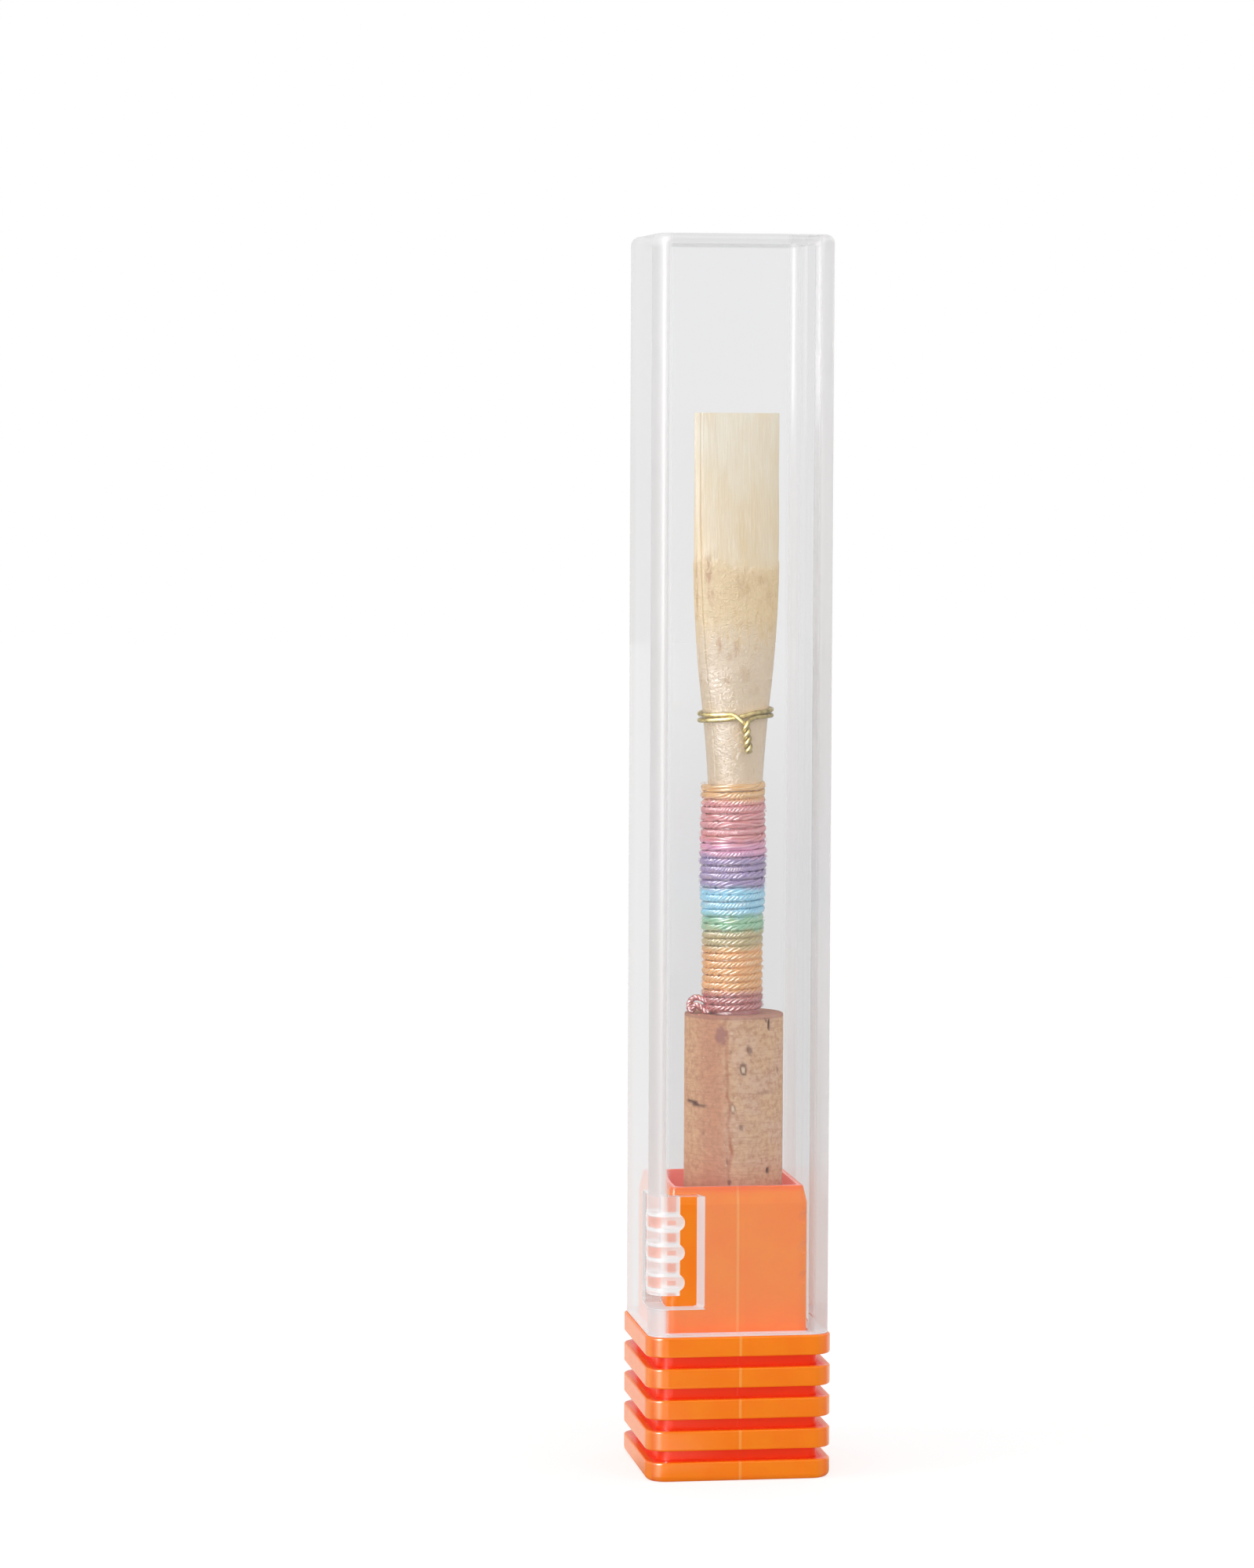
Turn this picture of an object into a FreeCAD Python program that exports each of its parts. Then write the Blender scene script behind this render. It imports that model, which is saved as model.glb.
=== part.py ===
import FreeCAD, Part

import math
import os

import Sketcher
from FreeCAD import Placement, Rotation, Vector

# An oboe reed in its storage case. The case is a square ribbed base whose hollow boss holds the
# reed's cork, under a clear square cover that slides over the boss. A tongue in the cover's
# corner carries ridges that click into notches in the boss.
#
# Millimetres and degrees. The origin is the centre of the base's underside, +Z is up and the
# front faces -Y. The reed's own heights count from the foot of its cork.

SIZES = (
    # Ribbed base and its boss
    ("base_side", "15.2"),
    ("base_corner_radius", "1.7"),
    ("base_foot_radius", "0.5"),
    ("rib_edge_radius", "0.15"),
    ("rib_count", "5"),
    ("rib_height", "1.6"),
    ("groove_height", "0.95"),
    ("groove_depth", "1.0"),
    ("boss_height", "12.0"),
    ("boss_wall", "0.8"),
    ("boss_corner_radius", "0.8"),
    ("boss_lead_in", "0.35"),
    ("boss_lead_height", "1.4"),
    ("boss_rim_radius", "0.15"),
    ("socket_depth", "9.4"),
    ("socket_corner_radius", "0.5"),
    # Clear cover
    ("cover_side", "14.8"),
    ("cover_height", "88.85"),
    ("cover_seat_gap", "0.05"),
    ("cover_wall", "1.5"),
    ("cover_roof", "0.8"),
    ("cover_corner_radius", "1.5"),
    ("cover_top_radius", "0.7"),
    ("cavity_corner_radius", "0.4"),
    ("boss_clearance", "0.1"),
    # Window in the cover's corner, and the ratchet tongue that hangs in it
    ("window_sill", "2.35"),
    ("window_height", "9.15"),
    ("window_reach", "4.45"),
    ("window_draft", "0.45"),
    ("window_side_radius", "0.9"),
    ("window_front_radius", "0.3"),
    ("tongue_length", "8.05"),
    ("tongue_leg", "2.4"),
    ("tongue_thickness", "1.0"),
    ("tongue_inner_radius", "0.3"),
    ("ridge_count", "3"),
    ("ridge_radius", "0.7"),
    ("ridge_pitch", "2.45"),
    ("ridge_rise", "4.5"),
    ("ridge_overhang", "0.4"),
    ("ridge_clearance", "0.08"),
    # Reed: where it stands, its cork and its staple
    ("reed_offset", "0.5"),
    ("reed_turn", "5"),
    ("reed_length", "72"),
    ("cork_length", "23"),
    ("cork_radius", "4.05"),
    ("cork_edge", "0.15"),
    ("staple_length", "42"),
    ("staple_foot_radius", "2.45"),
    ("staple_top_radius", "1.6"),
    ("staple_wall", "0.25"),
    ("fit_gap", "0.02"),
    ("cane_gap", "0.05"),
    # Cane blades
    ("cane_tail", "33.6"),
    ("tail_radius", "1.95"),
    ("throat_height", "42.2"),
    ("throat_radius", "2.26"),
    ("cane_thickness", "0.56"),
    ("blade_width", "7.26"),
    ("tip_opening", "0.84"),
    ("tip_thickness", "0.12"),
    ("blade_slip", "22"),
    # Thread: a plain first layer, and the outer layer wound over it
    ("thread_diameter", "0.38"),
    ("thread_turns", "24"),
    ("winding_foot_radius", "2.37"),
    ("winding_top_radius", "2.53"),
    ("underlayer_margin", "1.2"),
    ("knot_angle", "186"),
    ("thread_end_turn", "17"),
    ("knot_loop_radius", "0.43"),
    ("knot_loop_thickness", "0.44"),
    ("knot_lump_radius", "0.38"),
    # Brass binding wire and its twisted tail
    ("wire_diameter", "0.36"),
    ("wire_pitch", "0.8"),
    ("wire_turns", "2"),
    ("wire_rise", "5.1"),
    ("wire_gap", "0.06"),
    ("wire_start_angle", "273"),
    ("twist_length", "2.7"),
    ("twist_pitch", "1.3"),
    ("twist_lean", "14"),
    ("twist_drop", "0.35"),
    # How far a cutting shape runs past what it cuts
    ("overrun", "1.0"),
)

# Places and sizes that follow from the driving sizes above.
PLACES = (
    ("rib_pitch", "sizes.rib_height + sizes.groove_height"),
    ("base_height", "sizes.rib_count * sizes.rib_height + (sizes.rib_count - 1) * sizes.groove_height"),
    ("core_side", "sizes.base_side - 2 * sizes.groove_depth"),
    ("cavity_side", "sizes.cover_side - 2 * sizes.cover_wall"),
    ("boss_side", "cavity_side - 2 * sizes.boss_clearance"),
    ("socket_side", "boss_side - 2 * sizes.boss_wall"),
    ("boss_top", "base_height + sizes.boss_height"),
    ("socket_floor", "boss_top - sizes.socket_depth"),
    ("cover_foot", "base_height + sizes.cover_seat_gap"),
    ("cavity_height", "sizes.cover_height - sizes.cover_roof"),
    ("window_bottom", "base_height + sizes.window_sill"),
    ("window_top", "window_bottom + sizes.window_height"),
    ("window_outer_edge", "sizes.cover_side / 2 - sizes.window_reach"),
    ("window_inner_edge", "window_outer_edge + sizes.window_draft"),
    ("tongue_bottom", "window_top - sizes.tongue_length"),
    ("tongue_edge", "sizes.cover_side / 2 - sizes.tongue_leg"),
    ("tongue_inside", "sizes.cover_side / 2 - sizes.tongue_thickness"),
    ("ridge_axis", "(tongue_edge + cavity_side / 2) / sqrt(2) + sizes.ridge_radius"),
    ("first_ridge", "base_height + sizes.ridge_rise"),
    ("ridge_length", "2 * sizes.tongue_leg"),
    ("ridge_end", "tongue_edge - sizes.ridge_overhang + sizes.ridge_radius"),
    ("thread_radius", "sizes.thread_diameter / 2"),
    ("wire_radius", "sizes.wire_diameter / 2"),
    ("winding_foot", "sizes.cork_length + sizes.fit_gap + thread_radius"),
    ("winding_top", "sizes.throat_height"),
    ("thread_pitch", "(winding_top - winding_foot) / sizes.thread_turns"),
    ("underlayer_foot", "sizes.cork_length + sizes.fit_gap"),
    ("underlayer_top", "winding_top - sizes.underlayer_margin"),
    ("winding_slope", "(sizes.winding_top_radius - sizes.winding_foot_radius) / (winding_top - winding_foot)"),
    ("wire_height", "sizes.throat_height + sizes.wire_rise"),
    ("staple_slope", "(sizes.staple_foot_radius - sizes.staple_top_radius) / sizes.staple_length"),
    ("staple_at_cork_top", "sizes.staple_foot_radius - staple_slope * sizes.cork_length"),
    ("staple_at_tail", "sizes.staple_foot_radius - staple_slope * sizes.cane_tail"),
    ("staple_at_throat", "sizes.staple_foot_radius - staple_slope * sizes.throat_height"),
)

# The cane's section at heights between the throat and the tip. Each row holds shares: of the way
# up from throat to tip, of the way from the throat's radius to the widest half width, of the way
# from half the tip's opening to the throat's radius, and of the way from the tip's thickness to
# the full thickness of the cane.
BLADE_SHARES = (
    (0.155, 0.27, 0.955, 1.0),
    (0.295, 0.62, 0.82, 1.0),
    (0.460, 0.885, 0.635, 0.96),
    (0.630, 1.0, 0.42, 0.68),
    (0.830, 0.985, 0.19, 0.32),
    (1.0, 0.945, 0.0, 0.0),
)
# The edges of a blade are this share as thick as its middle.
EDGE_THICKNESS_SHARE = 0.9
# Each strand of the wire's tail stands this share of a wire diameter off the tail's own axis.
STRAND_SHARE = 0.53
# The wire's tail leaves this share of a wire diameter between itself and the binding.
TWIST_STANDOFF_SHARE = 0.3
# How many points each arc of a wound tube is measured at.
POINTS_PER_ARC = 7
# Directions from the axis to the case's corners, and to the corner that holds the tongue.
CORNERS = (45, 135, 225, 315)
TONGUE_CORNER = 225
# Where two lengths differ by less than this, they count as equal.
TOLERANCE = 1e-6


def fill_sheets(doc):
    sizes = doc.addObject("Spreadsheet::Sheet", "sizes")
    for row, (alias, text) in enumerate(SIZES, start=1):
        sizes.set(f"A{row}", alias)
        sizes.set(f"B{row}", text)
        sizes.setAlias(f"B{row}", alias)
    places = doc.addObject("Spreadsheet::Sheet", "places")
    for row, (alias, formula) in enumerate(PLACES, start=1):
        places.set(f"A{row}", alias)
        places.set(f"B{row}", "=" + formula)
        places.setAlias(f"B{row}", alias)
    doc.recompute()
    return sizes, places


# Sketches and features


def origin_feature(body, role):
    return next(item for item in body.Origin.OriginFeatures if item.Role == role)


def polygon_sketch(body, name, corners, plane="XY_Plane", height=None):
    """A closed polygon, its corners held at pairs of expressions in order."""
    sketch = body.newObject("Sketcher::SketchObject", name)
    sketch.AttachmentSupport = (origin_feature(body, plane), [""])
    sketch.MapMode = "FlatFace"
    if height:
        sketch.setExpression("AttachmentOffset.Base.z", height)
    count = len(corners)
    spots = []
    for index in range(count):
        turn = 2 * math.pi * index / count - 3 * math.pi / 4
        spots.append(Vector(math.cos(turn), math.sin(turn), 0))
    for index in range(count):
        sketch.addGeometry(Part.LineSegment(spots[index], spots[(index + 1) % count]), False)
    for index in range(count):
        sketch.addConstraint(Sketcher.Constraint("Coincident", index, 2, (index + 1) % count, 1))
    for index, corner in enumerate(corners):
        for kind, text in zip(("DistanceX", "DistanceY"), corner):
            number = sketch.addConstraint(Sketcher.Constraint(kind, -1, 1, index, 1, 1.0))
            sketch.setExpression(f"Constraints[{number}]", text)
    return sketch


def square(side):
    half = f"{side} / 2"
    return ((f"-{half}", f"-{half}"), (half, f"-{half}"), (half, half), (f"-{half}", half))


def pad(body, name, sketch, length):
    feature = body.newObject("PartDesign::Pad", name)
    feature.Profile = sketch
    feature.setExpression("Length", length)
    body.Document.recompute()
    return feature


def pocket_upwards(body, name, sketch, length):
    """A pocket that runs towards +Z from its sketch."""
    before = body.Shape.Volume
    feature = body.newObject("PartDesign::Pocket", name)
    feature.Profile = sketch
    feature.Reversed = True
    feature.setExpression("Length", length)
    body.Document.recompute()
    if body.Shape.Volume >= before:
        raise ValueError(f"{name} cuts nothing")
    return feature


def upright_edges(shape, half_side, low, high):
    """Names of the vertical edges at a square's corners, between two heights."""
    names = []
    for number, edge in enumerate(shape.Edges, start=1):
        box = edge.BoundBox
        straight = max(box.XLength, box.YLength) < TOLERANCE
        at_corner = max(abs(abs(box.XMin) - half_side), abs(abs(box.YMin) - half_side)) < TOLERANCE
        if straight and at_corner and box.ZMin > low - TOLERANCE and box.ZMax < high + TOLERANCE:
            names.append(f"Edge{number}")
    return names


def level_edges(shape, height, half_side):
    """Names of the edges that lie at one height, at or inside a square's outline."""
    names = []
    for number, edge in enumerate(shape.Edges, start=1):
        box = edge.BoundBox
        level = max(abs(box.ZMin - height), abs(box.ZMax - height)) < TOLERANCE
        reach = max(abs(box.XMin), abs(box.XMax), abs(box.YMin), abs(box.YMax))
        if level and abs(reach - half_side) < TOLERANCE:
            names.append(f"Edge{number}")
    return names


def sill_edges(shape, height, direction, limit):
    """Names of the edges at one height that lie wholly past a limit along a direction."""
    names = []
    for number, edge in enumerate(shape.Edges, start=1):
        level = all(abs(vertex.Z - height) < TOLERANCE for vertex in edge.Vertexes)
        past = all(vertex.Point.dot(direction) > limit - TOLERANCE for vertex in edge.Vertexes)
        if level and past:
            names.append(f"Edge{number}")
    return names


def fillet(body, name, edges, radius):
    base = body.Tip
    feature = body.newObject("PartDesign::Fillet", name)
    feature.Base = (base, edges)
    feature.setExpression("Radius", radius)
    body.Document.recompute()
    return feature


def chamfer(body, name, edges, across, down):
    """A chamfer that takes one length off the level face and another off the upright one."""
    base = body.Tip
    feature = body.newObject("PartDesign::Chamfer", name)
    feature.Base = (base, edges)
    feature.ChamferType = "Two distances"
    feature.FlipDirection = True
    feature.setExpression("Size", across)
    feature.setExpression("Size2", down)
    body.Document.recompute()
    return feature


def label(item, node):
    item.Label = node
    return item


def combine(doc, kind, name, shapes):
    joined = doc.addObject(kind, name)
    joined.Shapes = shapes
    if hasattr(joined, "Refine"):
        joined.Refine = True
    return joined


def cut(doc, name, base, tool):
    result = doc.addObject("Part::Cut", name)
    result.Base = base
    result.Tool = tool
    result.Refine = True
    return result


# Case


def corner_bars(doc, name, radius, corners, sizes, places):
    """Level round bars across the case's corners, one for each ridge of the tongue."""
    bars = []
    length = places.ridge_length
    for corner in corners:
        outward = Vector(math.cos(math.radians(corner)), math.sin(math.radians(corner)), 0)
        along = Vector(-outward.y, outward.x, 0)
        for ridge in range(int(sizes.ridge_count)):
            height = places.first_ridge + ridge * sizes.ridge_pitch
            bar = doc.addObject("Part::Cylinder", f"{name}_{corner}_{ridge}")
            bar.setExpression("Radius", radius)
            bar.setExpression("Height", "places.ridge_length")
            start = outward * places.ridge_axis - along * (length / 2) + Vector(0, 0, height)
            bar.Placement = Placement(start, Rotation(Vector(0, 0, 1), along))
            bars.append(bar)
    return combine(doc, "Part::MultiFuse", name, bars)


def make_base(doc, sizes, places):
    body = doc.addObject("PartDesign::Body", "base_body")
    core = polygon_sketch(body, "core_outline", square("places.core_side"))
    pad(body, "core", core, "places.base_height")
    outline = polygon_sketch(body, "rib_outline", square("sizes.base_side"))
    rib = pad(body, "rib", outline, "sizes.rib_height")
    ribs = body.newObject("PartDesign::LinearPattern", "ribs")
    ribs.Originals = [rib]
    ribs.Direction = (origin_feature(body, "Z_Axis"), [""])
    ribs.Mode = "Spacing"
    ribs.setExpression("Offset", "places.rib_pitch")
    ribs.setExpression("Occurrences", "sizes.rib_count")
    body.Tip = ribs
    doc.recompute()
    boss = polygon_sketch(body, "boss_outline", square("places.boss_side"))
    pad(body, "boss", boss, "places.boss_top")
    socket = polygon_sketch(body, "socket_outline", square("places.socket_side"), height="places.socket_floor")
    pocket_upwards(body, "socket", socket, "sizes.socket_depth + sizes.overrun")
    low, high = 0, places.boss_top
    half_base = sizes.base_side / 2
    fillet(body, "rib_corners", upright_edges(body.Shape, half_base, low, high), "sizes.base_corner_radius")
    half_core = places.core_side / 2
    inner_radius = "sizes.base_corner_radius - sizes.groove_depth / 2"
    fillet(body, "core_corners", upright_edges(body.Shape, half_core, low, high), inner_radius)
    half_boss = places.boss_side / 2
    fillet(body, "boss_corners", upright_edges(body.Shape, half_boss, low, high), "sizes.boss_corner_radius")
    half_socket = places.socket_side / 2
    fillet(body, "socket_corners", upright_edges(body.Shape, half_socket, low, high), "sizes.socket_corner_radius")
    fillet(body, "foot_edge", level_edges(body.Shape, 0, half_base), "sizes.base_foot_radius")
    chamfer(
        body, "boss_lead", level_edges(body.Shape, places.boss_top, half_boss),
        "sizes.boss_lead_in", "sizes.boss_lead_height",
    )
    half_rim = half_boss - sizes.boss_lead_in
    fillet(body, "boss_rim", level_edges(body.Shape, places.boss_top, half_rim), "sizes.boss_rim_radius")
    rib_edges = []
    for rib_number in range(int(sizes.rib_count)):
        underside = rib_number * places.rib_pitch
        if rib_number:
            rib_edges += level_edges(body.Shape, underside, half_base)
        rib_edges += level_edges(body.Shape, underside + sizes.rib_height, half_base)
    fillet(body, "rib_edges", rib_edges, "sizes.rib_edge_radius")
    radius = "sizes.ridge_radius + sizes.ridge_clearance"
    notches = corner_bars(doc, "notches", radius, CORNERS, sizes, places)
    return label(cut(doc, "notched_base", body, notches), "base")


def make_cover(doc, sizes, places):
    body = doc.addObject("PartDesign::Body", "cover_body")
    outline = polygon_sketch(body, "cover_outline", square("sizes.cover_side"), height="places.cover_foot")
    pad(body, "cover_block", outline, "sizes.cover_height")
    cavity = polygon_sketch(body, "cavity_outline", square("places.cavity_side"), height="places.cover_foot")
    pocket_upwards(body, "cavity", cavity, "places.cavity_height")
    low = places.cover_foot
    high = low + sizes.cover_height
    half_cover = sizes.cover_side / 2
    fillet(body, "cover_corners", upright_edges(body.Shape, half_cover, low, high), "sizes.cover_corner_radius")
    half_cavity = places.cavity_side / 2
    fillet(body, "cavity_corners", upright_edges(body.Shape, half_cavity, low, high), "sizes.cavity_corner_radius")
    fillet(body, "cover_rim", level_edges(body.Shape, high, half_cover), "sizes.cover_top_radius")

    window = doc.addObject("PartDesign::Body", "window_body")
    face = "-sizes.cover_side / 2"
    beyond = "-sizes.cover_side / 2 - sizes.overrun"
    outer = "-places.window_outer_edge"
    inner = "-places.window_inner_edge"
    wall = "-places.cavity_side / 2"
    corners = (
        (beyond, beyond), (outer, beyond), (outer, face), (inner, wall),
        (wall, inner), (face, outer), (beyond, outer),
    )
    opening = polygon_sketch(window, "window_outline", corners, height="places.window_bottom")
    pad(window, "window_block", opening, "sizes.window_height")
    for direction, name in ((Vector(1, 0, 0), "window_front"), (Vector(0, 1, 0), "window_side")):
        sill = sill_edges(window.Shape, places.window_bottom, direction, -places.window_inner_edge)
        fillet(window, f"{name}_corner", sill, f"sizes.{name}_radius")
    return label(cut(doc, "windowed_cover", body, window), "cover")


def make_tongue(doc, sizes, places):
    body = doc.addObject("PartDesign::Body", "tongue_body")
    face = "-sizes.cover_side / 2"
    edge = "-places.tongue_edge"
    inside = "-places.tongue_inside"
    corners = ((face, face), (edge, face), (edge, inside), (inside, inside), (inside, edge), (face, edge))
    outline = polygon_sketch(body, "tongue_outline", corners, height="places.tongue_bottom")
    pad(body, "tongue_angle", outline, "sizes.tongue_length")
    low, high = places.tongue_bottom, places.window_top
    half_cover = sizes.cover_side / 2
    fillet(body, "tongue_corner", upright_edges(body.Shape, half_cover, low, high), "sizes.cover_corner_radius")
    bend = upright_edges(body.Shape, places.tongue_inside, low, high)
    fillet(body, "tongue_bend", bend, "sizes.tongue_inner_radius")

    reach = doc.addObject("PartDesign::Body", "ridge_reach")
    corners = ((face, face), (edge, face), (edge, edge), (face, edge))
    limit = polygon_sketch(reach, "ridge_limit", corners, height="places.tongue_bottom")
    pad(reach, "ridge_space", limit, "sizes.tongue_length")
    bars = corner_bars(doc, "ridges", "sizes.ridge_radius", (TONGUE_CORNER,), sizes, places)
    ridges = combine(doc, "Part::MultiCommon", "trimmed_ridges", [reach, bars])
    pieces = [body, ridges] + ridge_ends(doc, sizes, places)
    return label(combine(doc, "Part::MultiFuse", "ridged_tongue", pieces), "ratchet_tongue")


def ridge_ends(doc, sizes, places):
    """Round ends by which the ridges stand out past the tongue's two upright edges."""
    outside = -sizes.cover_side / 2
    ends = []
    for ridge in range(int(sizes.ridge_count)):
        height = places.first_ridge + ridge * sizes.ridge_pitch
        front = Placement(Vector(-places.ridge_end, outside, height), Rotation(Vector(0, 0, 1), Vector(0, 1, 0)))
        side = Placement(Vector(outside, -places.ridge_end, height), Rotation(Vector(0, 0, 1), Vector(1, 0, 0)))
        for name, place in (("front", front), ("side", side)):
            end = doc.addObject("Part::Cylinder", f"ridge_{name}_{ridge}")
            end.setExpression("Radius", "sizes.ridge_radius")
            end.setExpression("Height", "sizes.tongue_thickness")
            end.Placement = place
            ends.append(end)
    return ends


# Reed


def stand_reed_body(body):
    """Stands a turned body of the reed on the socket's floor."""
    body.setExpression("Placement.Base.x", "sizes.reed_offset")
    body.setExpression("Placement.Base.z", "places.socket_floor")


def reed_place(sizes, places):
    return Placement(
        Vector(sizes.reed_offset, 0, places.socket_floor), Rotation(Vector(0, 0, 1), sizes.reed_turn)
    )


def reed_feature(doc, node, shape, sizes, places):
    feature = doc.addObject("Part::Feature", node)
    feature.Shape = shape
    feature.Placement = reed_place(sizes, places) * shape.Placement
    return label(feature, node)


def turned_body(doc, node, corners):
    """A body of revolution about the reed's axis, from (radius, height) expressions."""
    body = doc.addObject("PartDesign::Body", node + "_body")
    profile = polygon_sketch(body, node + "_profile", corners, plane="XZ_Plane")
    feature = body.newObject("PartDesign::Revolution", node + "_turn")
    feature.Profile = profile
    feature.ReferenceAxis = (profile, ["V_Axis"])
    feature.Angle = 360
    doc.recompute()
    stand_reed_body(body)
    return label(body, node)


def make_cork(doc):
    bore_foot = "sizes.staple_foot_radius + sizes.fit_gap"
    bore_top = "places.staple_at_cork_top + sizes.fit_gap"
    outside = "sizes.cork_radius"
    shoulder = "sizes.cork_radius - sizes.cork_edge"
    return turned_body(doc, "cork", (
        (bore_foot, "0"), (shoulder, "0"), (outside, "sizes.cork_edge"),
        (outside, "sizes.cork_length - sizes.cork_edge"), (shoulder, "sizes.cork_length"),
        (bore_top, "sizes.cork_length"),
    ))


def make_staple(doc):
    return turned_body(doc, "staple", (
        ("sizes.staple_foot_radius - sizes.staple_wall", "0"), ("sizes.staple_foot_radius", "0"),
        ("sizes.staple_top_radius", "sizes.staple_length"),
        ("sizes.staple_top_radius - sizes.staple_wall", "sizes.staple_length"),
    ))


def make_underlayer(doc):
    """The first layer of thread, which fills up between the staple, the cane and the winding."""
    gap = "sizes.fit_gap"
    cane_gap = "sizes.cane_gap"
    foot = "places.underlayer_foot"
    top = "places.underlayer_top"
    tail = "sizes.cane_tail - sizes.cane_gap"
    rise = "places.underlayer_top - sizes.cane_tail"
    climb = "(sizes.throat_radius - sizes.tail_radius) / (sizes.throat_height - sizes.cane_tail)"
    cane_at_top = f"sizes.tail_radius + {cane_gap} + ({climb}) * ({rise})"
    under_winding = f"- places.thread_radius - {gap}"
    outside_foot = f"sizes.winding_foot_radius {under_winding}"
    outside_top = f"sizes.winding_foot_radius + places.winding_slope * ({top} - {foot}) {under_winding}"
    return turned_body(doc, "thread_underlayer", (
        (f"places.staple_at_cork_top + {gap}", foot), (outside_foot, foot), (outside_top, top),
        (cane_at_top, top), (f"sizes.tail_radius + {cane_gap}", tail), (f"places.staple_at_tail + {gap}", tail),
    ))


def mix(low, high, share):
    return low + (high - low) * share


def cane_sections(sizes, places):
    """(height, half width, half depth, inner half width, inner half depth) up the cane."""
    tail_inside = places.staple_at_tail + sizes.cane_gap
    throat_inside = places.staple_at_throat + sizes.cane_gap
    tail, throat = sizes.tail_radius, sizes.throat_radius
    rows = [
        (sizes.cane_tail, tail, tail, tail_inside, tail_inside),
        (sizes.throat_height, throat, throat, throat_inside, throat_inside),
    ]
    for rise, wide, deep, thick in BLADE_SHARES:
        height = mix(sizes.throat_height, sizes.reed_length, rise)
        width = mix(throat, sizes.blade_width / 2, wide)
        depth = mix(sizes.tip_opening / 2, throat, deep)
        thickness = mix(sizes.tip_thickness, sizes.cane_thickness, thick)
        rows.append((height, width, depth, width - thickness * EDGE_THICKNESS_SHARE, depth - thickness))
    return rows


def oval_arc(half_width, half_depth, start, end, height):
    """Part of an oval about the reed's axis, between two angles."""
    centre = Vector(0, 0, height)
    if half_width - half_depth > TOLERANCE:
        oval = Part.Ellipse(centre, half_width, half_depth)
        return Part.ArcOfEllipse(oval, start, end).toShape()
    circle = Part.Circle(centre, Vector(0, 0, 1), half_width)
    return Part.ArcOfCircle(circle, start, end).toShape()


def make_blade(doc, node, start_angle, sizes, places):
    """Half of the cane tube, straight up to the throat and a flattening oval from there on.

    The seam between the two blades is slipped round the tube.
    """
    start = math.radians(start_angle + sizes.blade_slip)
    end = start + math.pi
    rings = []
    for height, width, depth, inner_width, inner_depth in cane_sections(sizes, places):
        outer = oval_arc(width, depth, start, end, height)
        inner = oval_arc(inner_width, inner_depth, start, end, height)
        first = Part.makeLine(inner.firstVertex().Point, outer.firstVertex().Point)
        last = Part.makeLine(outer.lastVertex().Point, inner.lastVertex().Point)
        rings.append(Part.Wire([first, outer, last, inner]))
    straight = Part.makeLoft(rings[:2], True, True)
    flattening = Part.makeLoft(rings[1:], True, False)
    return reed_feature(doc, node, straight.fuse(flattening), sizes, places)


# Wound thread and wire


def arc_between(start, tangent, end):
    """The arc that leaves start along tangent and reaches end."""
    chord = end - start
    side = tangent - chord * (tangent.dot(chord) / chord.dot(chord))
    if side.Length < TOLERANCE:
        return Part.LineSegment(start, end).toShape()
    half_turn = tangent.getAngle(chord) / 2
    middle = start + chord * 0.5 + side.normalize() * (chord.Length / 2 * math.tan(half_turn))
    return Part.Arc(start, middle, end).toShape()


def biarc(start, start_tangent, end, end_tangent):
    """Two arcs that join two points and keep the tangent at each."""
    chord = end - start
    total = start_tangent + end_tangent
    spread = 2 * (1 - start_tangent.dot(end_tangent))
    lean = chord.dot(total)
    reach = (-lean + math.sqrt(lean * lean + spread * chord.dot(chord))) / spread
    middle = (start + end + (start_tangent - end_tangent) * reach) * 0.5
    middle_tangent = (middle - start - start_tangent * reach).normalize()
    return [arc_between(start, start_tangent, middle), arc_between(middle, middle_tangent, end)]


def coil_path(point_at, steps_per_turn, turns):
    """Biarcs along a coil, whose point_at(turns so far) gives a point and its tangent."""
    edges = []
    count = int(round(steps_per_turn * turns))
    spots = [point_at(turns * index / count) for index in range(count + 1)]
    for (start, start_tangent), (end, end_tangent) in zip(spots, spots[1:]):
        edges.extend(biarc(start, start_tangent, end, end_tangent))
    return edges


def straight_ends(edges, spots, length):
    """Adds a straight run before and after a coil."""
    (start, start_tangent), (end, end_tangent) = spots
    lead = Part.LineSegment(start - start_tangent * length, start).toShape()
    tail = Part.LineSegment(end, end + end_tangent * length).toShape()
    return [lead] + edges + [tail]


def tube(edges, radius):
    path = Part.Wire(edges)
    start = edges[0].valueAt(edges[0].FirstParameter)
    tangent = edges[0].tangentAt(edges[0].FirstParameter)
    ring = Part.Wire([Part.Circle(start, tangent, radius).toShape()])
    return path.makePipeShell([ring], True, False)


def print_least_gap(name, edges, diameter, edges_per_turn):
    """Prints how near a wound tube comes to itself, measured on points along its path."""
    points = []
    for order, edge in enumerate(edges):
        for point in edge.discretize(Number=POINTS_PER_ARC)[:-1]:
            points.append((order, point))
    least = min(
        (point - other).Length
        for index, (order, point) in enumerate(points)
        for other_order, other in points[index + 1:]
        if edges_per_turn / 2 < other_order - order < edges_per_turn * 2
    )
    print(f"{name}: least gap to itself {least - diameter:.3f} mm")


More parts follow.
